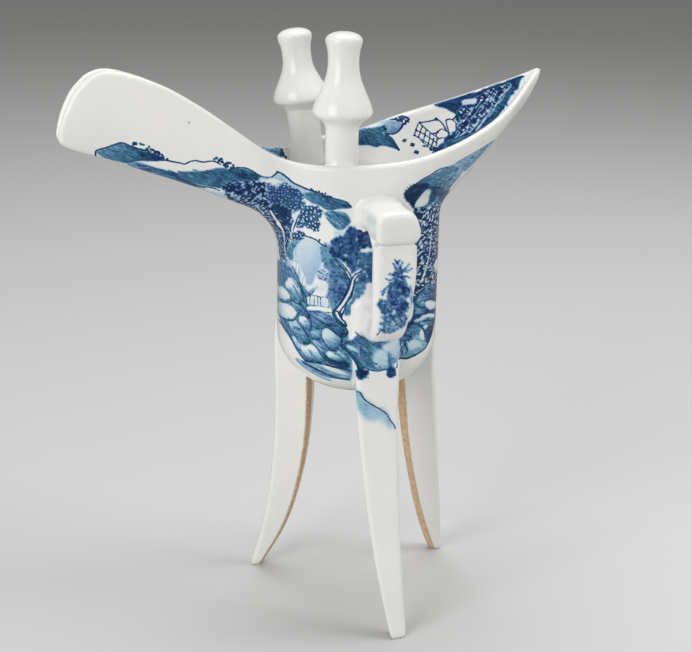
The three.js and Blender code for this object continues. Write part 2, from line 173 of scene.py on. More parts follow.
def settle(field, P, steps=2, limit=0.3):
    """Moves points onto the surface of the field."""
    for _ in range(steps):
        g = gradient(field, P)
        d = field(*P.T)[:, None] * g / np.maximum((g * g).sum(1), 0.08)[:, None]
        size = np.linalg.norm(d, axis=1, keepdims=True)
        P = P - d * np.minimum(1, limit / np.maximum(size, 1e-9))
    return P


def unmixed(F):
    """Closes the block at its sides, and drops grid points that meet others only across an edge."""
    for axis in range(3):
        for end in (0, -1):
            side = [slice(None)] * 3
            side[axis] = end
            F[tuple(side)] = np.maximum(F[tuple(side)], .05)
    for _ in range(20):
        drop = np.zeros(F.shape, bool)
        for axis in range(3):
            def corner(i, j, b=(axis + 1) % 3, c=(axis + 2) % 3):
                cut = [slice(None)] * 3
                cut[b], cut[c] = slice(i, F.shape[b] - 1 + i), slice(j, F.shape[c] - 1 + j)
                return tuple(cut)
            for p, q, r, t in (((0, 0), (1, 1), (0, 1), (1, 0)), ((0, 1), (1, 0), (0, 0), (1, 1))):
                P, Q = F[corner(*p)], F[corner(*q)]
                cross = (P < 0) & (Q < 0) & (F[corner(*r)] >= 0) & (F[corner(*t)] >= 0)
                drop[corner(*p)] |= cross & (P >= Q)
                drop[corner(*q)] |= cross & (P < Q)
        if not drop.any():
            break
        F[drop] = .02
    return F


def largest(P, quads):
    """The biggest part that hangs together by its edges, without loose crumbs."""
    ends = np.sort(np.stack((quads, np.roll(quads, -1, 1)), 2).astype(np.int64), 2)
    edge = np.unique(ends[..., 0] * len(P) + ends[..., 1], return_inverse=True)[1].reshape(quads.shape)
    label = np.arange(len(quads))
    while True:
        low = np.full(edge.max() + 1, len(quads))
        np.minimum.at(low, edge.ravel(), np.repeat(label, 4))
        new = low[edge].min(1)
        new = new[new]
        if (new == label).all():
            break
        label = new
    ids, n = np.unique(label, return_counts=True)
    quads = quads[label == ids[n.argmax()]]
    used = np.unique(quads)
    index = np.full(len(P), -1)
    index[used] = np.arange(len(used))
    return P[used], index[quads]


def surface(field, lo, hi, h, tidy=False):
    """Even quads over the surface where the field is zero."""
    lo = np.array(lo, float)
    ax = [np.arange(lo[i], hi[i] + h, h) for i in range(3)]
    F = field(ax[0][:, None, None], ax[1][None, :, None], ax[2][None, None, :])
    F = np.broadcast_to(F, tuple(len(a) for a in ax))
    if tidy:
        F = unmixed(F.copy())
    inside = F < 0
    count = sum(inside[i:inside.shape[0] - 1 + i, j:inside.shape[1] - 1 + j, k:inside.shape[2] - 1 + k].astype(np.int8)
                for i in (0, 1) for j in (0, 1) for k in (0, 1))
    mixed = (count > 0) & (count < 8)
    ids = np.argwhere(mixed)
    index = np.full(mixed.shape, -1)
    index[mixed] = np.arange(len(ids))
    acc, num = np.zeros((len(ids), 3)), np.zeros(len(ids))
    for axis in range(3):
        for u in (0, 1):
            for v in (0, 1):
                a = np.zeros(3, int)
                a[(axis + 1) % 3], a[(axis + 2) % 3] = u, v
                b = a.copy()
                b[axis] = 1
                fa, fb = F[tuple((ids + a).T)], F[tuple((ids + b).T)]
                cross = (fa < 0) != (fb < 0)
                t = fa[cross] / (fa[cross] - fb[cross])
                acc[cross] += ids[cross] + a + t[:, None] * (b - a)
                num[cross] += 1
    P = acc / num[:, None] * h + lo
    quads = []
    for axis in range(3):
        b, c = (axis + 1) % 3, (axis + 2) % 3
        first, second = [slice(1, -1)] * 3, [slice(1, -1)] * 3
        first[axis], second[axis] = slice(0, -1), slice(1, None)
        s0, s1 = inside[tuple(first)], inside[tuple(second)]
        for flip in (False, True):
            at = np.argwhere((s0 & ~s1) if not flip else (~s0 & s1))
            at[:, b] += 1
            at[:, c] += 1
            ring = []
            for db, dc in ((-1, -1), (0, -1), (0, 0), (-1, 0)):
                cell = at.copy()
                cell[:, b] += db
                cell[:, c] += dc
                ring.append(index[tuple(cell.T)])
            quad = np.stack(ring, 1)
            quads.append(quad[:, ::-1] if flip else quad)
    quads = np.concatenate(quads)
    if tidy:
        P, quads = largest(P, quads)
    return settle(field, P), quads


def refine(P, quads, pick):
    """Splits the picked quads in four; a neighbour keeps its shape and takes the new points on its edges."""
    edges = np.sort(np.stack([quads, np.roll(quads, -1, 1)], 2).reshape(-1, 2), 1)
    uniq, where = np.unique(edges, axis=0, return_inverse=True)
    where = where.reshape(-1, 4)
    split = np.zeros(len(uniq), bool)
    split[where[pick].ravel()] = True
    mid = np.full(len(uniq), -1)
    mid[split] = len(P) + np.arange(split.sum())
    n1 = len(P) + split.sum()
    P2 = np.concatenate([P, (P[uniq[split, 0]] + P[uniq[split, 1]]) / 2, P[quads[pick]].mean(1)])
    center = np.full(len(quads), -1)
    center[pick] = n1 + np.arange(pick.sum())
    m, q, c = mid[where[pick]], quads[pick], center[pick]
    fine = np.concatenate([np.stack([q[:, i], m[:, i], c, m[:, (i + 3) % 4]], 1) for i in range(4)])
    rest, rest_mid = quads[~pick], mid[where[~pick]]
    plain = (rest_mid < 0).all(1)
    faces = [tuple(f) for f in fine.tolist()] + [tuple(f) for f in rest[plain].tolist()]
    for f, mm in zip(rest[~plain].tolist(), rest_mid[~plain].tolist()):
        ring = []
        for i in range(4):
            ring.append(f[i])
            if mm[i] >= 0:
                ring.append(mm[i])
        faces.append(tuple(ring))
    return P2, faces


pieces = {}


def make_piece(name, node, P, faces, normals=None):
    mesh = bpy.data.meshes.new(name)
    mesh.from_pydata(((P + OFFSET) / 1000).tolist(), [], [tuple(f) for f in faces])
    mesh.update()
    mesh.polygons.foreach_set("use_smooth", np.ones(len(mesh.polygons), bool))
    if normals is not None:
        mesh.normals_split_custom_set_from_vertices((normals / np.maximum(np.linalg.norm(normals, axis=1, keepdims=True), 1e-9)).tolist())
    obj = bpy.data.objects.new(name, mesh)
    bpy.context.scene.collection.objects.link(obj)
    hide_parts(node)
    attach(obj, "root")
    pieces[name] = obj
    return obj


def points_of(obj):
    co = np.zeros(len(obj.data.vertices) * 3)
    obj.data.vertices.foreach_get("co", co)
    return co.reshape(-1, 3) * 1000 - OFFSET


PAINTED, WHITE = "blue_and_white_porcelain", "white_porcelain"

# body: one skin, then cut at the two luting planes so that no gap shows under the glaze
skin, quads = surface(shell, (-79, -27, 59), (52, 27, 152.5), 0.6)
middle = skin[quads].mean(1)
outside = body(*middle.T) > -0.5
tail_inside = (middle[:, 0] > 6) & (middle[:, 2] > 104)
skin, faces = refine(skin, quads, outside | tail_inside)
skin = settle(shell, skin, 1)
whole = bpy.data.meshes.new("whole_body")
whole.from_pydata(skin.tolist(), [], faces)
SPOUT_CUT = (Vector((-21.0, 0, 110.0)), Vector((-.94, 0, .34)))
TAIL_CUT = (Vector((20.6, 0, 112.0)), Vector((.94, 0, .34)))


def cut_piece(cuts):
    bm = bmesh.new()
    bm.from_mesh(whole)
    for (point, normal), keep_beyond in cuts:
        bmesh.ops.bisect_plane(bm, geom=bm.verts[:] + bm.edges[:] + bm.faces[:], dist=1e-4, plane_co=point, plane_no=normal,
                               clear_inner=keep_beyond, clear_outer=not keep_beyond)
        rim = [e for e in bm.edges if e.is_boundary and all(abs((v.co - point).dot(normal)) < 1e-2 for v in e.verts)]
        bmesh.ops.triangle_fill(bm, use_beauty=True, use_dissolve=False, edges=rim)
    bmesh.ops.recalc_face_normals(bm, faces=bm.faces[:])
    P = np.array([v.co[:] for v in bm.verts])
    bm.verts.index_update()
    F = [tuple(v.index for v in f.verts) for f in bm.faces]
    bm.free()
    return P, F


for name, node, cuts in (("cup_body", "cup", [(SPOUT_CUT, False), (TAIL_CUT, False)]), ("spout_trough", "spout", [(SPOUT_CUT, True)]),
                         ("tail_scoop", "tail", [(TAIL_CUT, True)])):
    P, F = cut_piece(cuts)
    make_piece(name, node, P, F, gradient(shell, P))


def luted(form, base, k, thin=0.02, bury=0.3):
    """A piece with a slip fillet where it meets the base, ending in a thin edge on the base's skin."""
    def field(x, y, z):
        b = base(x, y, z)
        u = smooth_min(b, form(x, y, z), k(x, y, z) if callable(k) else k)
        return np.maximum(np.maximum(u, -(b + bury)), thin - (b - u))
    return field


# -------------------------------------------------------------------- legs
# Height, width of the broad outer face, depth, width of the narrow inner face.
LEG_SECTION = np.array([[-2, 3.6, 2.3, 2.6], [0, 3.6, 2.3, 2.6], [.7, 4.4, 2.95, 3.2], [3, 4.88, 3.67, 3.35], [7, 5.52, 4.8, 3.41], [12, 6.26, 6.01, 3.44],
                        [20, 7.3, 7.28, 3.35], [28, 8.22, 8.06, 3.25], [37, 9.1, 8.8, 3.42], [47, 9.96, 9.24, 3.87], [57, 10.67, 9.33, 4.39],
                        [65.2, 11.2, 9.33, 4.7], [73, 11.5, 8.7, 5.4], [78, 11.2, 7.0, 6.2], [81.5, 10.3, 4.6, 6.5], [92, 7, 2.4, 5]])
leg_w, leg_d, leg_i = (curve(LEG_SECTION[:, [0, k]], 0.6) for k in (1, 2, 3))
LEGS = {
    "leg_front": ([[0, -82.42], [3, -82.78], [7, -83.34], [12, -84.28], [20, -85.48], [28, -86.68], [37, -88.08], [47, -89.43], [57, -90.79], [66, -91.51], [82, -91.63]],
                  [[0, 31.26], [3, 30.32], [7, 29.06], [12, 27.53], [20, 25.35], [28, 23.57], [37, 22.02], [47, 20.82], [57, 19.9], [66, 19.25], [73, 19.27], [78, 19.63], [82, 19.91]]),
    "leg_rear_left": ([[0, 143.16], [3, 142.7], [7, 142.04], [12, 141.09], [20, 139.59], [28, 138.17], [37, 136.65], [47, 135.31], [57, 134.34], [66, 133.72], [82, 133.2]],
                      [[0, 30.29], [3, 29.07], [7, 27.45], [12, 25.46], [20, 23.06], [28, 21.41], [37, 20.03], [47, 19.15], [57, 18.84], [66, 19.08], [73, 19.4], [78, 19.7], [82, 19.95]]),
    "leg_rear_right": ([[0, 25.47], [3, 25.2], [7, 24.71], [12, 23.88], [20, 22.31], [28, 20.61], [37, 19.23], [47, 18.26], [57, 17.46], [66, 16.79], [82, 16.2]],
                       [[0, 33.8], [3, 32.75], [7, 31.37], [12, 29.73], [20, 27.23], [28, 25.09], [37, 23.08], [47, 21.39], [57, 20.0], [66, 18.8], [73, 19.0], [78, 19.5], [82, 19.9]]),
}


def leg_axes(name):
    azimuth, reach = LEGS[name]
    turn, out = curve(azimuth, 1.5), curve(reach, 1.5)

    def across(x, y, z):
        """Outward and sideways from the middle of the section."""
        a, r = np.radians(turn(z)), out(z)
        ca, sa = np.cos(a), np.sin(a)
        return (x - r * ca) * ca + (y - r * sa) * sa, -(x - r * ca) * sa + (y - r * sa) * ca
    return across, turn, out


def leg_form(name):
    across = leg_axes(name)[0]

    def raw(x, y, z):
        q, t = across(x, y, z)
        t = np.abs(t)
        w, d, i = leg_w(z), leg_d(z), leg_i(z)
        ro, ri = np.minimum(1.5, .32 * np.minimum(w, d)), np.minimum(.75, .4 * i)
        q1, t1, q2, t2 = d / 2 - ro, w / 2 - ro, ri - d / 2, i / 2 - ri
        along = np.hypot(q1 - q2, t1 - t2)
        side = np.arctan2(t1 - t2, q1 - q2) + np.arccos(np.clip((ri - ro) / along, -1, 1))
        nq, nt = np.cos(side), np.sin(side)
        flat = np.maximum(np.maximum(q - d / 2, -d / 2 - q), (q - q1) * nq + (t - t1) * nt - ro)
        outer = (t > t1) & ((q - q1) * nt - (t - t1) * nq > 0)
        inner = (t > t2) & (nq * (t - t2) - nt * (q - q2) > 0)
        return np.where(outer, np.hypot(q - q1, t - t1) - ro, np.where(inner, np.hypot(q - q2, t - t2) - ri, flat))

    def form(x, y, z):
        e = 0.08
        f = raw(x, y, z)
        g = np.sqrt((raw(x + e, y, z) - raw(x - e, y, z)) ** 2 + (raw(x, y + e, z) - raw(x, y - e, z)) ** 2
                    + (raw(x, y, z + e) - raw(x, y, z - e)) ** 2) / (2 * e) + 1e-4
        return round_both(round_both(f / g, -z + 0.0 * f, 0.8), z - 85.5 + 0.0 * f, 2.5)
    return form


for name in LEGS:
    field = luted(leg_form(name), body, 3.4)
    turn, out = leg_axes(name)[1:]
    at = np.array([0.0, 40.0, 80.0])
    cx, cy = np.cos(np.radians(turn(at))) * out(at), np.sin(np.radians(turn(at))) * out(at)
    P, F = surface(field, (cx.min() - 9, cy.min() - 9, -1.2), (cx.max() + 9, cy.max() + 9, 90), 0.42, True)
    make_piece(name + "_sabre", name, P, F, gradient(field, P))


# ------------------------------------------------------------------ handle
def bezier(a, b, c, d, n=14):
    t = np.linspace(0, 1, n)[:, None]
    a, b, c, d = (np.array(p, float) for p in (a, b, c, d))
    return ((1 - t) ** 3 * a + 3 * t * (1 - t) ** 2 * b + 3 * t * t * (1 - t) * c + t ** 3 * d).tolist()


def polygon(points):
    """Signed distance to a closed outline, inside negative."""
    A = np.array(points, float)
    B = np.roll(A, -1, 0)

    def at(u, v):
        u, v = np.broadcast_arrays(u, v)
        best = np.full(u.shape, 1e9)
        odd = np.zeros(u.shape, bool)
        for (ax, ay), (bx, by) in zip(A, B):
            ex, ey = bx - ax, by - ay
            t = np.clip(((u - ax) * ex + (v - ay) * ey) / max(ex * ex + ey * ey, 1e-12), 0, 1)
            best = np.minimum(best, (u - ax - t * ex) ** 2 + (v - ay - t * ey) ** 2)
            odd ^= ((ay > v) != (by > v)) & (u < (bx - ax) * (v - ay) / ((by - ay) if by != ay else 1e-12) + ax)
        return np.where(odd, -1, 1) * np.sqrt(best)
    return at


HANDLE_X = -0.4
strap_side = polygon(bezier((30.6, 110.75), (30.9, 105), (31.1, 101), (30.3, 96.2)) + bezier((30.3, 96.2), (29.4, 92.6), (26.5, 91.4), (19, 92.1))[1:]
                     + bezier((19, 83.4), (26, 83.2), (31.2, 83.6), (33.4, 88)) + bezier((33.4, 88), (35.6, 93.5), (35.5, 102), (35, 110.75))[1:])
head_side = polygon([(18, 118.9)] + bezier((18, 118.9), (25, 119.2), (30.5, 119.3), (34.4, 119.1), 8) + bezier((34.4, 119.1), (35.9, 119.0), (36.6, 118.4), (36.7, 117.2), 6)[1:]
                    + bezier((36.7, 117.2), (36.8, 115.0), (36.6, 113.2), (36.1, 111.7), 6)[1:] + [(35.5, 110.9), (31.6, 110.9), (31.1, 106.6)]
                    + bezier((31.1, 106.6), (30.5, 109.2), (29.0, 110.9), (26.5, 111.6), 7)[1:] + bezier((26.5, 111.6), (23.5, 112.1), (21, 112.2), (18, 112.2), 5)[1:])


def strap_form(x, y, z):
    u = x - HANDLE_X
    wide = np.where(u > 0, 5.55 - 1.6 * ramp(-z, -105, -86), 5.45 - .3 * ramp(-z, -100, -88))
    return round_both(strap_side(-y + 0 * x, z + 0 * x), np.abs(u) - wide + 0 * y, 2.1)


def head_form(x, y, z):
    u = x - HANDLE_X
    wide = np.where(u > 0, 5.75 - 1.5 * ramp(z, 113.2, 119.2) - .3 * ramp(-z, -113, -110.8), 5.45 - .1 * ramp(-z, -115.5, -110.8))
    dome = .7 * np.clip(u / 5.3, -1.2, 1.2) ** 2 * ramp(z, 112.5, 117.5)
    return round_both(head_side(-y + 0 * x, z + dome), np.abs(u) - wide + 0 * y, 1.7)


def head_fillet(x, y, z):
    return 1.7 + .5 * ramp(-z, -118.6, -114.5) + 0 * x + 0 * y


def strap_fillet(x, y, z):
    return 2.6 + 0 * x + 0 * y + 0 * z


for name, node, form, slot, k, lo, hi in (("handle_strap_loop", "handle_strap", strap_form, PAINTED, strap_fillet, (-12, -37, 76), (11.5, -15, 112.5)),
                                          ("handle_head_block", "handle_head", head_form, WHITE, head_fillet, (-13, -38.5, 104), (12.5, -14, 127.5))):
    field = luted(form, body, k)
    P, F = surface(field, lo, hi, 0.36, True)
    make_piece(name, node, P, F, gradient(field, P))

# ------------------------------------------------------------------- posts
POSTS = {"post_near": (np.array([-9.1, -15.2, 127.0]), np.array([-8.9, -15.4, 158.9])),
         "post_far": (np.array([-10.2, 15.1, 124.9]), np.array([-13.7, 16.4, 156.6]))}
stem_r = curve([[-8, 3.4], [-5.5, 3.4], [-4.4, 4.1], [0, 4.1], [9, 4.1], [10.4, 4.35], [13, 4.45]], 0.5)
CAP = [(0, 9.7), (3.2, 9.7), (4.14, 9.75), (4.3, 10.3), (4.75, 11.1), (5.6, 11.95), (6.7, 12.8), (7.25, 13.35), (7.42, 13.9), (7.3, 14.7), (6.8, 16.1), (5.6, 18.5),
       (4.5, 20.8), (3.95, 22.8), (3.8, 25.0), (3.95, 27.2), (4.35, 28.8), (4.5, 29.7), (4.35, 30.4), (3.8, 31.0), (2.8, 31.52), (1.5, 31.85), (0, 31.95)]


def spline(points, per=8):
    p = np.array([points[0]] + list(points) + [points[-1]], float)
    out = []
    for i in range(1, len(p) - 2):
        for t in np.linspace(0, 1, per, endpoint=False):
            a, b, c, d = p[i - 1], p[i], p[i + 1], p[i + 2]
            out.append(0.5 * (2 * b + (c - a) * t + (2 * a - 5 * b + 4 * c - d) * t * t + (3 * b - a - 3 * c + d) * t ** 3))
    return np.array(out + [p[-1]])


def post_axes(base, top):
    w = (top - base) / np.linalg.norm(top - base)
    u = np.cross(w, [0, 1, 0.2])
    u /= np.linalg.norm(u)
    return u, np.cross(w, u), w


for name, (base, top) in POSTS.items():
    u, v, w = post_axes(base, top)

    def stem_form(x, y, z, base=base, w=w):
        dx, dy, dz = x - base[0], y - base[1], z - base[2]
        h = dx * w[0] + dy * w[1] + dz * w[2]
        r = np.sqrt(np.maximum(dx * dx + dy * dy + dz * dz - h * h, 0))
        return round_both(round_both(r - stem_r(h) - (.22 if base[1] > 0 else 0), h - 12.4, 0.4), -h - 5.5, 1.2)

    def slip(x, y, z):
        return 0.06 + 1.7 * ramp(-body(x, y, z), .5, 1.5)

    field = luted(stem_form, shell, slip)
    P, F = surface(field, base - [8, 8, 9], base + [8, 8, 14.5], 0.36, True)
    make_piece(name + "_shank", name + "_stem", P, F, gradient(field, P))

    profile = spline(CAP)
    profile[:, 0] = np.maximum(profile[:, 0], 0)
    if name == "post_near":
        profile[:, 1] -= 1.25 * (1 - ramp(profile[:, 1], 14, 25))
    n = 112
    th = np.linspace(0, 2 * np.pi, n, endpoint=False)
    rings = profile[1:-1]
    wob = 1 + 0.006 * np.sin(2 * th + base[1]) + 0.004 * np.sin(3 * th + 1.3 * base[1])
    P = [base + w * profile[0, 1]]
    for r, h in rings:
        P.extend(base + w * h + r * wob[i] * (np.cos(th[i]) * u + np.sin(th[i]) * v) for i in range(n))
    P.append(base + w * profile[-1, 1])
    P = np.array(P)
    F = [(0, 1 + (i + 1) % n, 1 + i) for i in range(n)]
    for k in range(len(rings) - 1):
        a, b = 1 + k * n, 1 + (k + 1) * n
        F += [(a + i, a + (i + 1) % n, b + (i + 1) % n, b + i) for i in range(n)]
    last = 1 + (len(rings) - 1) * n
    F += [(last + i, last + (i + 1) % n, len(P) - 1) for i in range(n)]
    make_piece(name + "_crown", name + "_cap", P, F)


# ---------------------------------------------------------------- painting
# A cobalt landscape of the usual kind: hills with dots of scrub, rocks, trees, a small pavilion. Places are given as
# seen from the camera, or as (angle, height), and carried onto the unrolled skin, so that strokes keep their width.
EYE = np.array([-94.857, -320.765, 191.463])
az, pitch, roll, focal = math.radians(16.0), 0.3253, 0.0159, 1299.06
look = np.array([math.sin(az) * math.cos(pitch), math.cos(az) * math.cos(pitch), -math.sin(pitch)])
right = np.array([math.cos(az), -math.sin(az), 0])
upward = np.cross(right, look)
right, upward = (math.cos(roll) * right + math.sin(roll) * upward, -math.sin(roll) * right + math.cos(roll) * upward)
FRONT = math.radians(106.5)
plan_x = np.arange(-92, 54, 0.1)
plan_s = np.cumsum(np.hypot(0.1, np.gradient(rim_w(plan_x))))
plan_s -= np.interp(-6.08, plan_x, plan_s)


def turn_of(P):
    return (np.arctan2(P[:, 1], P[:, 0]) + FRONT + math.pi) % (2 * math.pi) - math.pi


def girth(P):
    """Distance along the girth of the outer skin, and how far a point belongs to the trough rather than the cup."""
    x, y, z = P.T
    m = ramp(round_cup(x, y, z) - trough(x, y, z)[0], -2.5, 2.5)
    round_s = CUP_R * turn_of(P)
    return np.where(y < 0, (1 - m) * round_s + m * np.interp(x, plan_x, plan_s), round_s), m


def tree_of(*objs):
    points, polys = [], []
    for obj in objs:
        polys += [tuple(i + len(points) for i in f.vertices) for f in obj.data.polygons]
        points += [tuple(p) for p in points_of(obj)]
    return BVHTree.FromPolygons(points, polys)


skin_tree = tree_of(pieces["cup_body"], pieces["spout_trough"], pieces["tail_scoop"], pieces["leg_front_sabre"])
on_far = ((skin[:, 1] > -.2) & (body(*skin.T) < -1.4)).tolist()
far_skin = [f for f in faces if all(on_far[i] for i in f)]
far_tree = BVHTree.FromPolygons([tuple(p) for p in skin], far_skin)
known = {}


def seen(points, tree=None, chart=None):
    """Carries picture positions onto a skin."""
    key = (tuple(map(tuple, points)), id(tree), id(chart))
    if key in known:
        return known[key].copy()
    points = np.array(points, float)
    middle = points.mean(0)
    out = []
    for p in points:
        hit, back = None, 0.0
        while hit is None and back < 1:
            q = p + (middle - p) * back
            d = look + right * (q[0] - 346) / focal - upward * (q[1] - 326) / focal
            hit = (tree or skin_tree).ray_cast(Vector(EYE), Vector(d))[0]
            back += 0.04
        h = np.array(hit if hit is not None else (0, -CUP_R, 100))[None]
        uv = np.array([girth(h)[0][0], h[0, 2]]) if chart is None else chart(h)
        out.append(uv + 0.25 * (p - q) * [1, -1])
    known[key] = np.array(out)
    return known[key].copy()


def at(*p):
    return seen(p)


def smooth_loop(points, per=5):
    p = np.array(points, float)
    n, out = len(p), []
    for i in range(n):
        a, b, c, d = p[i - 1], p[i], p[(i + 1) % n], p[(i + 2) % n]
        for t in np.linspace(0, 1, per, endpoint=False):
            out.append(0.5 * (2 * b + (c - a) * t + (2 * a - 5 * b + 4 * c - d) * t * t + (3 * b - a - 3 * c + d) * t ** 3))
    return np.array(out)


def lumpy(points, g, size=.45, every=1.0):
    """An outline with rounded lumps, as of a leafy crown."""
    p = smooth_loop(points, 8)
    e = np.diff(np.concatenate([p, p[:1]]), axis=0)
    length = np.concatenate([[0], np.cumsum(np.hypot(*e.T))])
    n = max(6, int(length[-1] / every))
    out = []
    for k in range(n):
        u = (k + g.uniform(-.25, .25)) / n * length[-1] % length[-1]
        i = min(np.searchsorted(length, u, side="right") - 1, len(p) - 1)
        t = e[i] / max(np.hypot(*e[i]), 1e-6)
        base = p[i] + t * (u - length[i])
        out.append(base + np.array([t[1], -t[0]]) * (size if k % 2 else -size * .5) * g.uniform(.5, 1.2))
    return np.array(out)


def chiselled(points, g, rough=.11):
    """A stony outline: nearly straight sides, a little uneven."""
    p, out = np.array(points, float), []
    for a, b in zip(p, np.roll(p, -1, 0)):
        out += [a + (b - a) * t + g.normal(0, rough, 2) for t in (.1, .37, .63, .9)]
    return np.array(out)


class Canvas:
    def __init__(self, s, z, seed, reach=None):
        """Reach is where the paint can show; other points are left out."""
        self.use = np.arange(len(s)) if reach is None else np.flatnonzero(reach > 0)
        self.use = self.use[np.argsort(s[self.use], kind="stable")]
        self.s, self.z, self.rng = s[self.use], z[self.use], np.random.default_rng(seed)
        n = len(self.use)
        self.wash, self.hue, self.ring, self.fleck = np.zeros(n), np.full(n, .5), np.zeros(n), np.zeros(n)
        self.ink, self.dab, self.keep = np.full(n, 2.0), np.zeros(n), np.zeros(n)

    def box(self, pts, pad):
        pts = np.array(pts)
        lo, hi = pts.min(0) - pad, pts.max(0) + pad
        a, b = np.searchsorted(self.s, [lo[0], hi[0]])
        return a + np.flatnonzero((self.z[a:b] > lo[1]) & (self.z[a:b] < hi[1]))

    def spread(self, layer, n, empty=0.0):
        out = np.full(n, empty)
        out[self.use] = getattr(self, layer)
        return out

    def shape(self, pts, wash=.3, hue=.6, edge=.2, line=.17, fade=(.3, 1), soft=.3, angle=-90, stone=False):
        """A washed shape; fade runs along the angle, edge darkens towards the outline, line is the outline's half width."""
        pts = np.array(pts) if stone else smooth_loop(pts)
        i = self.box(pts, 1.2)
        if not len(i):
            return
        d = polygon(pts)(self.s[i], self.z[i])
        w = ramp(-d, -soft, soft)
        a = math.radians(angle)
        along = pts @ [math.cos(a), math.sin(a)]
        t = np.clip((self.s[i] * math.cos(a) + self.z[i] * math.sin(a) - along.min()) / max(np.ptp(along), .1), 0, 1)
        value = wash * (fade[0] + (fade[1] - fade[0]) * (np.clip((t - .28) / .72, 0, 1) ** 1.3 if stone else t)) + edge * np.exp(np.minimum(d, 0) / .7)
        self.wash[i] += (value - self.wash[i]) * w
        self.hue[i] += (hue - self.hue[i]) * w
        for layer in (self.ring, self.fleck, self.dab, self.keep):
            layer[i] *= 1 - w
        self.ink[i] = np.where(d < 0, np.maximum(self.ink[i], -d), self.ink[i])
        if line:
            self.ink[i] = np.minimum(self.ink[i], np.abs(d) - line * (.2 + 1.1 * t if stone else 1))

    def mass(self, pts, layer, value=1.0, hue=.3, soft=.5):
        pts = smooth_loop(pts)
        i = self.box(pts, 1.5)
        if len(i):
            w = ramp(-polygon(pts)(self.s[i], self.z[i]), -soft, soft)
            arr = getattr(self, layer)
            arr[i] = np.maximum(arr[i], value * w)
            self.hue[i] += (hue - self.hue[i]) * w
            if layer in ("ring", "fleck"):
                self.wash[i] *= 1 - w
                self.dab[i] *= 1 - w
            if layer == "ring":
                self.fleck[i] *= 1 - w
            if layer != "keep":
                self.keep[i] *= 1 - w

    def path(self, pts, w0, w1=None):
        p = np.array(pts, float)
        if len(p) > 2:
            p = spline(p, 6)
        i = self.box(p, 1.5)
        best = np.full(len(i), 9.0)
        if not len(i):
            return i, best
        w1 = w0 if w1 is None else w1
        n = len(p) - 1
        for k in range(n):
            a, e = p[k], p[k + 1] - p[k]
            t = np.clip(((self.s[i] - a[0]) * e[0] + (self.z[i] - a[1]) * e[1]) / max(e @ e, 1e-9), 0, 1)
            d = np.hypot(self.s[i] - a[0] - t * e[0], self.z[i] - a[1] - t * e[1])
            best = np.minimum(best, d - (w0 + (w1 - w0) * (k + t) / n))
        return i, best

    def stroke(self, pts, w0=.17, w1=None):
        i, d = self.path(pts, w0, w1)
        self.ink[i] = np.minimum(self.ink[i], d)

    def brush(self, pts, w0=.3, w1=None, value=.5, hue=.4, soft=.25, within=None):
        i, d = self.path(pts, w0, w1)
        if not len(i):
            return
        w = ramp(-d, -soft, soft)
        if within is not None:
            w = w * ramp(-within(self.s[i], self.z[i]), -.1, .2)
        self.dab[i] = np.maximum(self.dab[i], value * w)
        self.hue[i] += (hue - self.hue[i]) * w

    def rake(self, pts, angle, count, length=2.0, value=(.35, .6), hue=.7, width=.16, toward=0.0, stone=False):
        """Short parallel strokes inside an outline; toward > 0 keeps them to the end that the angle points at."""
        pts = np.array(pts) if stone else smooth_loop(pts)
        inside, lo, hi = polygon(pts), pts.min(0), pts.max(0)
        a = math.radians(angle)
        along = pts @ [math.cos(a), math.sin(a)]
        tries = self.rng.uniform(lo, hi, (count * 6, 2))
        share = (tries @ [math.cos(a), math.sin(a)] - along.min()) / max(np.ptp(along), .1)
        for p in tries[(inside(tries[:, 0], tries[:, 1]) < 0) & (share >= toward)][:count]:
            b = a + self.rng.uniform(-.18, .18)
            e = np.array([math.cos(b), math.sin(b)]) * length * self.rng.uniform(.3, .6)
            bow = np.array([-e[1], e[0]]) * self.rng.uniform(-.12, .12)
            self.brush([p + e, p + bow, p - e], width * self.rng.uniform(.8, 1.3), .03, self.rng.uniform(*value), hue, .13, inside)

    def slab(self, pts, wash=.5, hue=.8, pale=.06, angle=-60, line=.13, strokes=4, edge=.06):
        """A rock: pale on the lit side, washed and stroked on the other."""
        pts = chiselled(pts, self.rng)
        self.shape(pts, wash * 1.25, hue, edge, line, (pale * .7, 1.0), .15, angle, True)
        self.rake(pts, angle + 35, strokes, np.ptp(pts, axis=0).max() * .5, (wash * .9, min(1, wash * 1.6)), max(0, hue - .3), .17, .35, True)

    def reserve(self, pts, w0, w1=None, line=.13):
        """A bare trunk or limb left white between two lines."""
        i, d = self.path(pts, w0, w1)
        w = ramp(-d, -.1, .1)
        for layer in (self.ring, self.fleck, self.dab):
            layer[i] *= 1 - w
        self.wash[i] += (.03 - self.wash[i]) * w
        self.ink[i] = np.where(d < 0, np.maximum(self.ink[i], -d), self.ink[i])
        if line:
            self.ink[i] = np.minimum(self.ink[i], np.abs(d) - line)

    def dots(self, pts, r=.3):
        for p in pts:
            i = self.box([p], 1.2)
            a = self.rng.uniform(.75, 1.25)
            d = np.hypot((self.s[i] - p[0]) * a, (self.z[i] - p[1]) / a) - r * self.rng.uniform(.75, 1.2)
            self.ink[i] = np.minimum(self.ink[i], d)

    def daubs(self, pts, count, r=(.35, .8), value=(.6, .95), hue=(.1, .4), soft=.22):
        pts = smooth_loop(pts)
        tries = self.rng.uniform(pts.min(0), pts.max(0), (count * 4, 2))
        for p in tries[polygon(pts)(tries[:, 0], tries[:, 1]) < 0][:count]:
            q, v, h = self.rng.uniform(*r), self.rng.uniform(*value), self.rng.uniform(*hue)
            i = self.box([p], q + .3)
            w = ramp(q - np.hypot(self.s[i] - p[0], self.z[i] - p[1]), -soft, soft)
            self.dab[i] = np.maximum(self.dab[i], v * w)
            self.hue[i] += (h - self.hue[i]) * w

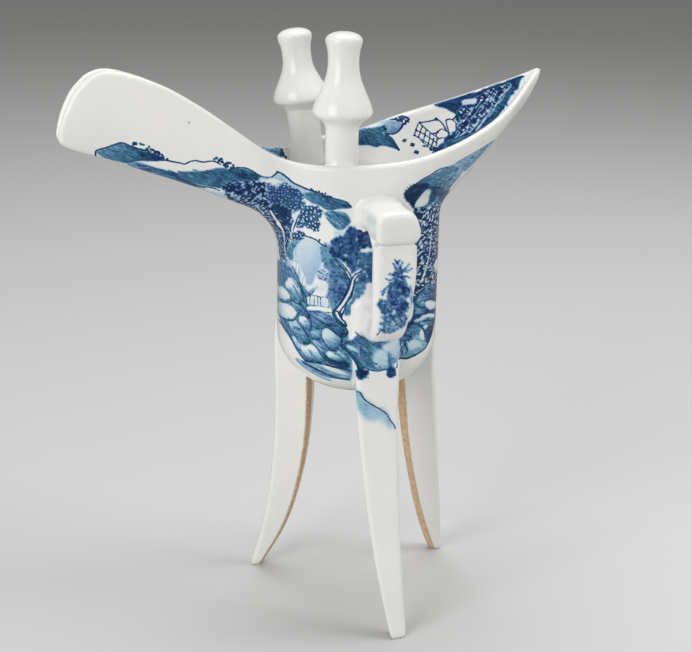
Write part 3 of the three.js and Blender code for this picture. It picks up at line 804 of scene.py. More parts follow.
    def spare(self, pts, r=.4, value=.8):
        """Small places left white."""
        for p in pts:
            i = self.box([p], r + .3)
            a = self.rng.uniform(.7, 1.4)
            w = ramp(r - np.hypot((self.s[i] - p[0]) * a, (self.z[i] - p[1]) / a), -.15, .15)
            self.keep[i] = np.maximum(self.keep[i], value * w)

    def rock(self, s, z, w, h):
        """A made-up slanted slab for the sides that aren't seen."""
        g = self.rng
        lean = g.uniform(-.35, .8)
        base = np.array([(-.5, -.25), (-.42, .25), (-.15, .5), (.15, .42), (.4, .16), (.52, -.2), (.25, -.46), (-.2, -.44)]) + g.uniform(-.1, .1, (8, 2))
        pts = np.stack([s + w * (base[:, 0] + lean * base[:, 1] * h / w), z + h * base[:, 1] - .35 * w * base[:, 0] * lean], 1)
        self.slab(pts, g.uniform(.3, .68), g.uniform(.55, 1), g.uniform(.02, .4), g.uniform(-130, -40), g.uniform(.09, .17), int(g.integers(3, 7)))
        k = g.integers(3, 6)
        self.stroke(pts[[k % 8, (k + 1) % 8, (k + 2) % 8, (k + 3) % 8]], .22, .1)


def jitter_row(a, b, n, g, spread):
    a, b = np.array(a), np.array(b)
    return [a + (b - a) * (k + g.uniform(-.3, .3)) / max(n - 1, 1) + g.uniform(-1, 1, 2) * spread for k in range(n)]


def scrub(c, pts, n, rise=.1, spread=.2, r=.27):
    """Dots of scrub along the top of a hill."""
    p = spline(np.array(pts), 8)
    for k in np.linspace(0, len(p) - 1, n).astype(int):
        m = c.rng.integers(1, 3)
        c.dots([p[k] + [c.rng.uniform(-.3, .3), rise + j * .5 + c.rng.uniform(-spread, spread)] for j in range(m)], r)


def flank(c):
    """Hills along the underside of the spout; their washes are laid darker than the hills elsewhere, partly as painted
    shade for the spout's shadowed underside.
    """
    g = c.rng
    one = at((97, 153), (99, 150), (110, 147), (120, 143.5), (130, 146.5), (142, 150.5), (152, 153), (160, 156), (164, 160), (150, 161), (137, 161), (129, 163.5), (118, 161.5), (105, 158))
    # washes here are deeper than the cobalt alone would be: part of the depth is painted shade for the underside
    c.shape(one, .7, .9, .05, 0, (.55, 1.15), .25, -20)
    c.rake(one, -14, 40, 3.2, (.55, .9), .85, .17)
    c.rake(at((138, 152), (152, 153), (161, 157), (164, 160), (150, 161), (138, 160)), -14, 30, 3.0, (.85, 1), .3, .22)
    under = at((128, 163), (140, 162.5), (150, 166), (165, 170), (180, 174), (192, 182), (205, 188), (190, 186), (170, 180), (150, 174), (132, 169))
    c.shape(under, .74, .6, .05, 0, (.35, 1.1), .3, -20)
    c.rake(under, -15, 60, 4.0, (.8, 1), .4, .18)
    two = at((178, 173), (190, 171.5), (205, 171), (218, 168), (228, 169), (240, 168.5), (250, 171), (260, 176), (270, 178), (262, 181), (250, 181), (238, 182), (228, 184), (221, 188), (212, 187), (200, 184.5), (187, 181))
    c.shape(two, .74, .85, .04, 0, (.75, 1.0), .3, -30)
    c.rake(two, -16, 66, 3.6, (.55, .92), .85, .17)
    c.rake(at((236, 171), (250, 172), (262, 178), (270, 179), (255, 181), (240, 181), (234, 177)), -14, 44, 3.0, (.85, 1), .3, .24)
    for a, b in (((193, 169.5), (199, 171)), ((206, 170.5), (212, 172)), ((178, 171), (186, 173)), ((168, 170), (176, 172.5)), ((220, 174), (224, 175.5))):
        c.stroke(at(a, b), .16, .06)
    c.stroke(at((96, 157), (95.5, 154), (96, 151), (99, 149.5), (108, 147), (115, 144.5), (120, 143), (124, 143.5), (130, 146), (137, 148.5), (146, 150.5)), .2, .24)
    c.stroke(at((128, 162.5), (136, 160.5), (145, 160), (155, 160.5), (164, 160.5)), .17, .13)
    c.stroke(at((164, 160), (172, 161.5), (180, 163), (185, 164), (190, 161.5), (196, 160.7), (203, 162), (210, 161.2), (216, 162), (221, 165)), .2, .17)
    c.stroke(at((236, 168), (245, 168), (252, 171), (258, 175), (265, 178), (272, 177.5)), .17, .32)
    c.stroke(at((190, 184), (203, 186.5), (212, 188), (220, 190.5)), .2, .14)
    c.shape(at((190, 186), (205, 188.5), (219, 192), (232, 192), (238, 198), (228, 198), (214, 195), (200, 190.5)), .1, .9, .02, 0, (.3, 1.2), .3)
    c.dots(at((133.5, 143.5), (136, 143.7), (140.5, 144), (143.5, 144.8), (149, 146.6), (147, 149.5), (150.5, 149), (152.5, 150), (155, 151.5), (157, 152), (159, 153.2), (162, 154.8), (163, 157.5), (167.3, 159.3),
              (154, 154), (158, 156), (149, 152.5), (161, 158)), .38)
    c.dots(at((214.5, 159), (216.5, 157.8), (221.3, 159), (222.3, 162), (224.5, 165), (227, 163.5), (229.5, 163), (228, 166.5), (231, 168), (233.2, 165.3), (237.3, 167.8), (234, 168.3), (226, 167), (219.5, 160.5)), .37)


def spout_root(c):
    """Leafy trees drawn as small rings, and the hills above them."""
    g = c.rng
    leafy = at((223, 186), (228, 182), (238, 182), (248, 180), (257, 181), (266, 181), (274, 184), (284, 182.5), (292, 186), (300, 190), (304, 195), (304, 205), (300, 209), (294, 212), (292, 222), (291, 232),
               (289, 246), (286, 258), (281, 262), (277, 252), (272, 236), (265, 223), (255, 215), (244, 208), (234, 202), (226, 197))
    c.mass(lumpy(leafy, g, .4, 1.0), "fleck", 1.05, .2, .3)
    c.mass(leafy, "dab", .2, .25, .5)
    c.rake(at((223, 186), (230, 182), (246, 181), (252, 188), (246, 194), (236, 194), (228, 191)), -60, 40, 1.3, (.85, 1), .2, .24)
    c.mass(lumpy(at((268, 184), (276, 185), (284, 183), (292, 186), (300, 190), (305, 196), (305, 205), (300, 210), (293, 211), (286, 206), (276, 206), (268, 200)), g, .35, 1.0), "ring", 1.0, .2, .3)
    c.mass(at((268, 186), (276, 187), (284, 185), (292, 188), (299, 192), (303, 197), (303, 204), (298, 208), (286, 206), (276, 206), (268, 200)), "dab", .4, .2, .6)
    c.daubs(at((266, 204), (276, 206), (287, 207), (290, 214), (288, 226), (282, 222), (274, 214)), 46, (.35, .7), (.72, .95), (0, .2))
    c.mass(lumpy(at((305, 206), (309, 204), (313, 206), (318, 206), (322, 210), (323, 214), (320, 218), (320, 224), (320, 228), (317, 232), (312, 230), (308, 228), (304, 226), (300, 229), (296, 226), (298, 219), (300, 213)), g, .3, .9),
           "ring", 1.0, .2, .22)
    c.mass(lumpy(at((294, 233), (298, 231), (302, 231), (305, 235), (303, 240), (298, 243), (294, 241), (292, 237)), g, .3, .9), "ring", 1.0, .3, .22)
    c.spare(at((262, 179.5), (265, 180), (269, 181), (273, 183), (277, 184.5), (271, 179.5), (305.5, 200.5), (308, 203)), .75, .85)
    c.spare(at((232, 194), (236, 196), (239, 198), (246, 193), (259, 197), (262, 198), (252, 203), (257, 206), (266, 188), (270, 206)), .5, .7)
    c.reserve(at((270.5, 211), (274, 217), (278, 222), (282, 229), (284, 236), (284.5, 243), (285, 250), (286, 257)), .36, .3, .12)
    c.reserve(at((300, 210), (297, 216), (294, 223), (292, 230), (291, 237), (292.5, 242)), .3, .32, .12)
    c.shape(at((292, 214), (296, 213), (299, 210), (300, 213), (297, 217), (294, 220)), .04, .2, .02, 0, (0, 1), .15)
    c.reserve(at((284, 226), (287, 229), (290, 232)), .2, .16, .08)
    c.reserve(at((257, 205), (259, 209), (262, 214), (264, 219)), .22, .25, .1)
    # the small hill and the long one behind
    c.shape(at((273, 176.5), (277, 173), (282, 174.5), (288, 179), (294, 184), (301, 187.5), (307, 190.5), (304, 193), (299, 189.5), (292, 186), (286, 182), (279, 180)), .16, .85, .03, 0, (.8, 1), .25)
    c.brush(at((275, 177), (281, 180), (287, 183)), .3, .2, .2, .8, .25)
    hill = at((304, 194), (308, 192), (312, 191.5), (318, 193.5), (326, 196.5), (335, 199.5), (343, 201.5), (349, 205), (350, 208), (345, 208.5), (338, 209), (330, 210.5), (325, 209), (320, 206), (312, 203), (306, 199))
    c.shape(hill, .58, .95, .04, 0, (.7, 1.2), .22, 0)
    c.rake(hill, -24, 46, 3.2, (.55, .9), .85, .17)
    c.rake(at((316, 194), (326, 197), (338, 201), (348, 206), (340, 208), (330, 205), (322, 200)), -24, 30, 3.0, (.82, 1), .35, .2)
    c.stroke(at((272, 177), (274.5, 175), (277.5, 172.3), (281.5, 173.5), (287, 177.5), (293.5, 183), (300, 186), (306, 188.8), (311, 190.5)), .22, .22)
    c.stroke(at((311, 190.5), (318, 193), (325, 196), (333, 198.5), (341, 200.5), (347, 202.8), (351, 207)), .22, .27)
    c.dots(at((277, 172), (311, 189), (312.5, 190), (319, 191.5), (322, 193.6), (325.3, 193.3), (328, 195.6), (331, 197), (316, 191.6)), .3)
    low = at((324, 213), (331, 211), (340, 211.5), (346, 213.5), (349.5, 218), (350, 223), (346, 227), (342, 230), (338, 229.5), (333, 226), (329, 221), (326, 217))
    c.shape(low, .5, .95, .03, 0, (.5, 1.15), .3, -15)
    c.rake(low, -42, 36, 3.0, (.55, .92), .8, .17)
    c.brush(at((332, 211.5), (339, 215), (345, 219), (349, 222)), .2, .12, .85, .6, .15)
    c.brush(at((327, 218), (332, 224), (338, 229.5)), .2, .1, .75, .8, .15)
    c.shape(at((334, 231), (342, 231), (348, 232), (346, 237), (338, 240)), .14, .8, 0, 0, (.4, 1), .5)


def pale_rock(c):
    rock = at((298, 244), (303, 239), (309, 238.5), (315, 240), (319, 244), (322, 250), (322, 258), (321, 265), (318, 271), (315, 277), (311, 285), (305, 282), (301, 274), (297, 266), (293, 259), (293, 252), (295, 247))
    c.shape(rock, .17, .04, .03, 0, (.25, 1.15), .5, -50)
    c.brush(at((296, 246), (295, 252), (298, 258)), .9, .5, .14, .9, .8)
    c.brush(at((317, 250), (315, 258), (312, 266)), .7, .5, .16, .02, 1.4)
    c.shape(at((292, 242), (300, 240.5), (296, 246), (293, 251), (293, 259), (290, 259), (287, 255), (287, 248)), .52, .9, .05, 0, (.6, 1), .2)
    c.rake(at((292, 242), (300, 240.5), (296, 246), (293, 251), (293, 259), (290, 259), (287, 255), (287, 248)), -60, 16, 2, (.5, .8), .6, .17)
    c.stroke(at((303, 234.5), (307, 236.5), (312, 238), (317, 240.5), (321, 244), (326, 246.5)), .2, .2)
    c.dots(at((319.5, 239.8), (304, 234), (326, 246)), .3)


def slabs_left(c):
    """Rocks down the left of the cup and along its foot, upper ones first."""
    # blue ground behind them
    c.shape(past(at((278, 262), (285, 262), (292, 266), (300, 280), (308, 292), (320, 310), (332, 316), (345, 330), (350, 345), (352, 366), (350, 378), (330, 374), (312, 366), (300, 355), (290, 338), (281, 322), (277, 300), (277, 281))), .52, .75, 0, 0, (.95, 1.05), .4)
    c.rake(at((277, 262), (288, 262), (296, 274), (290, 284), (280, 284), (276, 275)), -50, 30, 2.2, (.6, .9), .3, .2)
    for pts, wash, hue, pale, angle, n in (
            (((285, 260), (291, 259.5), (297, 262), (301, 267), (304, 273), (306, 280), (307, 288), (302, 285), (298, 278), (294, 272), (290, 268), (286, 266)), .3, .7, .0, -140, 4),
            (((285, 282), (289, 278), (293, 278), (297, 283), (300, 288), (302, 294), (304, 300), (300, 303), (295, 297), (290, 291), (286, 287)), .55, .75, .0, -75, 8),
            (((276, 283), (281, 286.5), (286, 289.5), (290, 295), (290, 299), (285, 300.5), (280, 298.5), (276, 294)), .22, .7, .0, -100, 2),
            (((291, 300), (298, 302), (303, 307), (307, 313), (310, 319), (304, 316), (299, 312), (294, 307)), .62, .5, .5, -50, 8),
            (((276, 302), (283, 302.5), (289, 304), (293, 307.5), (297, 312), (296, 316), (293, 319), (288, 319.3), (283, 317.5), (278, 312)), .2, .8, .0, -120, 2),
            (((308, 313), (318, 312.5), (327, 314.5), (333, 319), (340, 325), (345.5, 330), (346.5, 335), (341, 336), (335, 332), (329, 328), (322, 325), (315, 322.5), (310, 319)), .68, .55, .55, -50, 16),
            (((299, 316), (304, 316), (308, 320), (311, 325), (311, 331), (307, 329), (303, 326), (299, 322)), .5, .85, .0, -50, 5),
            (((288, 321), (296, 320), (300, 325), (305, 331), (309, 337), (309.5, 343), (304, 341.5), (299, 337.5), (294, 331), (290, 326)), .55, .9, .25, -40, 9),
            (((311, 331), (317, 329.5), (321, 331), (322, 336), (319, 339.5), (313, 339), (310.5, 335)), .58, .95, .45, -60, 8),
            (((321.5, 331), (324, 328), (328, 328), (333, 331), (338, 335), (341, 339), (340, 345), (336.5, 349.5), (331, 350), (327, 346), (324, 341), (321.5, 336)), .5, .95, .1, -60, 3),
            (((310.5, 341), (315, 339.5), (319.5, 342.5), (323, 347.5), (327, 352), (327, 358), (322, 356), (317, 350.5), (313, 346)), .58, .9, .35, -60, 8),
            (((291, 335), (295, 337), (299, 342.5), (304, 345.5), (303, 350), (298, 349), (294, 343)), .3, .2, .0, -120, 3),
            (((300, 345), (306, 345.5), (310, 343.5), (315, 347), (319.5, 352), (322.5, 357), (326, 361.5), (318, 361.5), (311, 360.5), (305.5, 357), (302, 351)), .5, .85, .0, -80, 8),
            (((325, 352.5), (331, 350.5), (338, 351), (344, 354), (348.5, 358), (346, 361), (340, 360), (333, 359), (328, 357)), .52, .95, .05, -70, 7)):
        c.slab(past(at(*pts)), wash, hue, pale, angle, .11, n)
    c.shape(at((328, 358.5), (336, 361), (345, 361.5), (350, 365), (346, 368.5), (338, 366), (331, 363)), .88, .2, .0, 0, (1, 1), .2)
    # long bands of the shore
    c.shape(at((297, 358), (304, 361), (314, 363), (326, 365), (338, 369), (350, 373), (351, 379), (338, 379), (326, 377), (314, 372), (304, 366)), .36, .85, .0, 0, (.6, 1), .3)
    c.rake(at((297, 358), (304, 361), (314, 363), (326, 365), (338, 369), (350, 373), (351, 379), (338, 379), (326, 377), (314, 372), (304, 366)), -24, 26, 4.5, (.4, .7), .8, .17)
    c.brush(at((297, 360), (303, 366), (312, 372), (321, 377), (330, 380.5)), .45, .3, .4, .8, .5)
    c.brush(at((303, 362), (312, 367), (322, 372), (334, 377), (349, 379.5)), .42, .34, .85, .35, .2)
    c.brush(at((312, 370), (322, 374.5), (330, 378)), .2, .12, .6, .5, .15)
    c.shape(at((321, 364.5), (330, 366.5), (340, 370), (349, 375), (340, 374), (330, 370.5)), .06, .6, .0, 0, (0, 1), .25)
    c.stroke(at((305, 361), (314, 362.5), (323, 364), (334, 367), (343, 368.5), (351, 371)), .24, .3)
    # contours of different weight
    for w0, w1, pts in ((.25, .3, ((292, 266), (297, 275), (300, 283), (303, 291), (306, 299), (308, 307))), (.2, .25, ((296.5, 281), (300.5, 288), (303, 296), (305, 303))), (.15, .3, ((279, 298.5), (283, 301.5), (288, 302), (292, 300), (296, 303), (301, 305))),
                        (.22, .3, ((300, 303), (306, 310), (310, 317), (311.5, 324), (310, 331))), (.2, .26, ((279, 315), (285, 319.5), (293, 320.5), (297, 316), (299, 313))), (.3, .42, ((278.5, 319), (283, 326), (288, 333), (292, 340), (296, 347), (300, 354))),
                        (.42, .25, ((300, 354), (304.5, 359.5), (311, 362), (320, 362.3))), (.25, .3, ((300, 325), (305, 332), (309, 339), (308.5, 344), (303, 343))), (.22, .3, ((310, 340), (315.5, 346), (320, 353), (326, 360), (333, 364.5))),
                        (.2, .25, ((321, 336), (325, 343.5), (330, 350.5), (337, 351))), (.25, .32, ((330, 329), (337, 334.5), (342, 339.5), (341, 346), (344, 350))), (.3, .42, ((333, 315), (339.5, 322), (346, 328.5), (347.5, 333.5), (343, 337), (336, 333.5))),
                        (.28, .2, ((308, 313), (315, 318), (322, 322), (329, 326), (335, 331))), (.25, .3, ((325, 357), (333, 361), (342, 363.5), (350, 366.5))), (.2, .2, ((311, 325), (316, 328), (322, 328.5), (327, 327)))):
        c.stroke(at(*pts), w0 * .75, w1 * .72)


def big_tree(c):
    g = c.rng
    soft = at((321, 247), (325, 244), (330, 246), (334, 252), (338, 259), (343, 265), (347, 271), (349.5, 278), (349, 286), (345.5, 293), (342, 301), (338, 307), (334, 309.5), (330, 305), (327.5, 299), (327, 293), (329, 288), (328, 281), (327, 275),
              (328, 270), (324, 266), (322, 259), (321, 252))
    c.mass(lumpy(soft, g, .4, 1.3), "dab", .42, .75, .45)
    c.daubs(soft, 170, (.25, .55), (.3, .72), (.4, 1), .35)
    c.daubs(at((331, 262), (338, 262), (346, 272), (348, 284), (343, 296), (336, 302), (332, 290), (334, 276)), 90, (.25, .55), (.5, .85), (.1, .6), .35)
    c.rake(at((334, 268), (343, 268), (348, 280), (344, 294), (338, 302), (334, 290)), 8, 26, 1.8, (.7, .9), .4, .15)
    c.shape(at((316, 271), (320, 269.5), (327, 272), (328, 279), (322, 280.5), (318, 277)), .16, .15, .0, 0, (.8, 1), .6)
    c.rake(at((315, 271), (320, 268.5), (328, 271), (328, 280), (321, 281), (317, 277)), -20, 16, 1.4, (.4, .75), .25, .16)
    top = at((333, 241), (336, 238.5), (339.5, 236), (342.5, 235), (345.5, 236), (346.5, 232), (349.5, 229), (353, 228), (357, 228.7), (359.5, 230), (364, 230), (369, 231), (374, 236), (377, 242), (377, 246.5), (370, 247.5), (364, 248),
             (361, 248.5), (360.5, 252), (359, 258), (361, 264), (359, 268), (355, 271), (352, 276), (350, 271), (348, 266), (344, 262), (340, 258.5), (336, 257), (332, 254), (330, 248))
    c.mass(lumpy(top, g, .42, 1.1), "dab", .62, .3, .35)
    c.daubs(top, 190, (.3, .7), (.62, 1), (0, .4), .35)
    side = at((361, 253.5), (366, 253), (374, 253), (377, 260), (377, 270), (376, 280), (368, 282), (361, 280.5), (359, 275), (362, 270), (360, 264), (359.5, 258))
    c.mass(lumpy(side, g, .3, 1.2), "dab", .6, .35, .25)
    c.daubs(side, 90, (.3, .65), (.5, .9), (.1, .8), .35)
    below = at((356, 282), (363, 281), (365, 286), (363, 292), (359, 296.5), (356.5, 301), (354.5, 306), (351, 311), (349, 314), (346, 314), (346, 309), (350, 302), (352.5, 296), (354, 289))
    c.mass(lumpy(below, g, .3, 1.4), "dab", .42, .85, .4)
    c.daubs(below, 46, (.35, .7), (.36, .6), (.6, 1), .35)
    c.spare(at((345.6, 254.8), (346, 255.6), (345.5, 263), (358.6, 260.5), (358, 262.8), (357.3, 268), (366, 266.5), (341, 244.5), (356.5, 239.5), (364, 272), (367, 276)), .36, .72)
    c.spare(at((362, 250.5), (365, 250.2), (368, 250)), .5, .8)
    c.reserve(at((335.5, 259.5), (341, 264.5), (346, 270.5), (349.5, 277), (352, 281.5)), .2, .42, .17)
    c.reserve(at((361, 273), (356.5, 275.5), (353.5, 279.5), (352, 285), (350, 291.5), (346.8, 298), (342.8, 304), (339, 309), (336.5, 313.5)), .34, .62, .18)
    c.reserve(at((336.5, 313), (338.5, 317.5), (342, 321), (345, 324.5)), .5, .3, .18)
    c.stroke(at((339.5, 312.5), (341, 315), (341.5, 318)), .4, .25)
    c.stroke(at((349.5, 279), (349, 285), (345.5, 293), (342, 301), (337, 307.5), (333, 312), (335, 318), (339, 323), (344, 326.5)), .26, .3)
    c.stroke(at((355, 281), (353.5, 288), (351, 297), (346.8, 302), (345.5, 308), (342.5, 314), (341.5, 318.5), (345, 322), (346.5, 326)), .2, .24)


def pavilion(c):
    c.shape(at((308, 296), (318, 296), (328, 299), (329, 306), (318, 306), (308, 305)), .08, .5, .0, 0, (.3, 1), .25)
    c.shape(at((315, 281.5), (321, 281), (327, 284), (327, 289), (320, 291), (316, 287)), .05, .3, .0, 0, (0, 1), .35)
    for k in range(9):
        t = k / 8
        c.stroke(at((306 + 5 * t, 296.5 - 1.5 * t), (309 + 10 * t + g_fan[k], 290 - 4 * t + g_fan[k + 1])), .07, .02)
    c.brush(at((304, 296), (309, 292), (316, 288)), .5, .3, .2, .6, .7)
    c.shape(at((307.5, 306.5), (318, 306.5), (328.5, 308.5), (328.5, 311.3), (318, 310.5), (308, 310)), .04, .2, .0, 0, (0, 0), .15)
    for w, pts in ((.2, ((306.5, 305.3), (316, 305.6), (329.5, 307.8))), (.22, ((308.5, 311.3), (318, 312), (331, 312.5))), (.15, ((310, 297), (310, 304.6))), (.17, ((314, 297), (314.3, 305))), (.15, ((317.6, 297), (317.8, 304.8))),
                   (.15, ((306.5, 296.5), (313, 295.5), (320, 296.5))), (.17, ((320.5, 298), (320.5, 305.5))), (.15, ((320, 298), (324, 296.8), (329, 299.5))), (.15, ((328.6, 299), (329, 307)))):
        c.stroke(at(*pts), w * .62, w * .5)


g_fan = np.random.default_rng(3).uniform(-.8, .8, 10)


def right_side(c):
    """Right of the handle: hill with a frayed end, white stone, thicket, rocks."""
    g = c.rng
    # blue ground
    c.shape(past(at((414, 207), (424, 190), (436, 182), (450, 174), (460, 175), (449, 190), (442, 207), (439, 240), (438, 255), (438, 270), (437.5, 285), (437, 300), (436, 312), (434, 325), (429, 342), (415, 354), (399, 357), (399, 330), (412, 318), (414, 290), (415, 250))), .82, .35, .0, 0, (.9, 1.05), .3)
    band = at((414, 186), (420, 181.5), (426, 178), (432, 175), (438, 171), (444, 169), (452, 165), (459, 165), (464, 169), (460, 176), (453, 184), (447, 190), (440, 187), (434, 186), (428, 184), (420, 187))
    c.shape(band, .5, .8, .0, 0, (1.3, .4), .25, 25)
    c.rake(band, 30, 40, 3.6, (.6, .95), .5, .16)
    dark = at((404, 194.5), (407, 190), (412, 186), (417, 184), (424, 183), (430, 184), (429, 187), (424, 190), (420, 194.5), (417, 199.5), (415, 204), (413.5, 208), (410, 203.5), (406, 200))
    c.shape(dark, .95, .15, .0, 0, (.95, 1.05), .2)
    c.rake(dark, 38, 30, 3.0, (.85, 1), .2, .15)
    for a, b in (((408, 191), (404.5, 190)), ((410, 188.5), (406.8, 187.3)), ((412.5, 186.8), (409.5, 185.2)), ((415, 185.3), (412.5, 183.6)), ((407, 194.5), (402.8, 193.8)), ((407, 198), (403, 197.6)), ((409.5, 201), (406, 201.2)), ((412, 204.5), (409, 205)),
                 ((413.5, 207), (411, 208))):
        c.stroke(at(a, b), .24, .1)
    c.stroke(at((416, 184), (421, 180.3), (426, 177.5), (431, 174.8), (436, 171.2), (441, 168.8), (448, 167)), .2, .17)
    thicket = at((414, 209), (420, 207), (428, 205), (432, 207), (436, 201), (440, 203), (441, 208), (440, 216), (439, 240), (438, 262), (437, 284), (430, 287), (423, 289), (418, 296), (413, 303), (413, 285), (416, 262), (417, 244), (418, 228))
    c.mass(past(thicket), "fleck", 1.0, .1, .3)
    c.shape(at((414.5, 206.5), (417, 200), (420.5, 195.5), (424, 191.5), (428, 188.8), (431, 188.8), (432, 191.5), (430, 196), (429, 200), (427.5, 203.5), (424, 206), (420, 207.3)), .025, .5, .06, 0, (0, 1), .2, -20)
    c.rake(at((426, 190), (434, 186), (442, 181), (446, 181), (442, 196), (438, 206), (430, 206), (429, 198)), 48, 40, 2.2, (.75, 1), .5, .16)
    c.spare(at((430, 207), (433, 203.5), (436, 205), (431.5, 212), (428, 214), (434, 209), (437, 199)), .5, .75)
    c.stroke(at((417, 200), (420.5, 195.5), (424, 191.3), (428.5, 188.3), (432, 189)), .14, .2)
    c.brush(at((432, 190), (430, 197), (429, 203), (425, 206.5)), .3, .2, .55, .8, .3)
    c.spare(at((422, 224), (424.5, 224.5), (430, 219), (433, 217.5), (425.5, 232), (422.5, 246), (419.5, 253), (427, 243), (431.5, 234), (420.5, 236), (418, 270), (419.5, 274), (416, 282), (426, 279.5), (422, 259)), .5, .8)
    c.reserve(at((430.5, 240), (430, 250), (428.6, 258), (427, 265), (424.3, 273), (421.5, 281)), .24, .34, .0)
    c.shape(at((435, 262), (437.5, 257), (439, 258), (438, 268), (435.5, 272), (434.5, 268)), .04, .5, .02, 0, (0, 1), .2)
    # rocks
    for pts, wash, hue, pale, angle, n in (
            (((414, 305), (418, 296), (423, 288.5), (428, 284), (434, 286), (437, 291), (436.5, 299), (430, 298.5), (425, 300.5), (420, 306), (415, 312)), .74, .6, .75, -60, 16),
            (((415, 312), (419, 304), (424, 301), (426, 306), (430, 310), (427, 313), (420, 314.5), (415, 316)), .7, .85, .5, -70, 12),
            (((424, 303), (428.5, 299.3), (434, 301), (437, 305), (434, 309.5), (428.5, 309.5), (425.5, 306.5)), .07, .1, .0, -110, 1),
            (((420, 320), (426, 318), (432, 318), (434, 322), (430, 326), (424, 326.5), (420, 324)), .7, .9, .5, -60, 8),
            (((413.5, 320), (418, 318.3), (423, 315.5), (428.5, 313), (434.5, 314.5), (434, 318), (427, 317.5), (422.5, 320.5), (418.5, 323), (413.5, 323)), .2, .8, .0, -100, 2),
            (((424, 329), (428, 327), (433, 327), (432, 334), (428, 340), (424.5, 336)), .9, .25, .9, -60, 6),
            (((422.5, 327.5), (425, 324.5), (428.5, 324), (428, 327), (425, 329.5)), .1, .6, .0, -60, 1)):
        c.slab(past(at(*pts)), wash, hue, pale, angle, .12, n)
    boulder = at((398, 336), (404, 331), (409, 327.5), (415, 324.5), (420, 327), (424, 333), (425.5, 340), (427, 345), (423, 349.5), (417, 353.5), (410, 357), (402, 358.5), (397, 357))
    c.shape(boulder, .5, .95, .05, 0, (1.15, .5), .2, -40)
    c.rake(at((398, 336), (405, 331), (414, 329), (415, 338), (406, 346), (404, 356), (398, 356)), 40, 30, 2.4, (.6, .92), .6, .2)
    c.shape(at((420.5, 330), (422.5, 329.5), (424, 334), (424, 340), (421.5, 340), (419.5, 336)), .03, .5, .04, 0, (0, 1), .2)
    c.shape(at((408, 343), (414, 339.5), (420, 341), (421, 346), (414, 350), (409, 350)), .14, 1, .0, 0, (.5, 1), .6)
    c.stroke(at((399.5, 358.3), (405, 358.5), (411, 357), (418, 353.5), (424, 349.3), (427.3, 345), (429.5, 338)), .32, .24)
    c.stroke(at((403, 342), (406, 346), (408, 350), (405, 354)), .2, .15)
    c.brush(at((399, 330), (404, 335), (412, 336)), .4, .3, .9, .2, .3)
    for w, line in ((.4, ((400, 343.5), (401.5, 350), (403, 356))), (.28, ((405, 345), (406.5, 348), (407, 352))), (.45, ((399.5, 337), (404, 334.5), (410, 337))), (.35, ((401, 341), (406, 340), (412, 338.5))),
                    (.4, ((415.5, 315.5), (419, 314.5), (424, 313.5))), (.34, ((416, 304), (420, 307.5), (423.5, 308.5))), (.5, ((414.5, 300), (419, 294), (425, 288))), (.3, ((421, 297), (425, 294), (430, 293))), (.3, ((428, 289), (432, 291), (436, 296))),
                    (.35, ((426, 311), (430, 312), (434, 311.5))), (.35, ((424, 321), (428, 320), (433, 321)))):
        c.brush(at(*line), w, w * .6, .95, .15, .25)
    for w, line in ((.2, ((402.8, 342.5), (401, 346), (399.3, 347.5))), (.18, ((407, 341.5), (408, 343.5), (408.5, 345.5))), (.15, ((418, 301), (421, 297.5), (424, 295))), (.15, ((404, 350), (404.5, 353), (404, 356)))):
        c.reserve(at(*line), w, w * .7, .0)
    keel = at((454, 164.5), (463, 159), (473, 153.5), (482, 148), (489, 143.2), (494.5, 139.8), (494.8, 140.4), (488, 148), (479, 157.5), (471, 166), (465, 171), (459, 168))
    c.shape(keel, .34, .85, .0, 0, (.7, 1.2), .35, -50)
    c.rake(keel, 42, 22, 3.4, (.35, .7), .7, .14)
    c.stroke(at((456, 163.5), (464, 158.3), (473, 153.2), (482, 147.7), (491, 141.6)), .13, .04)


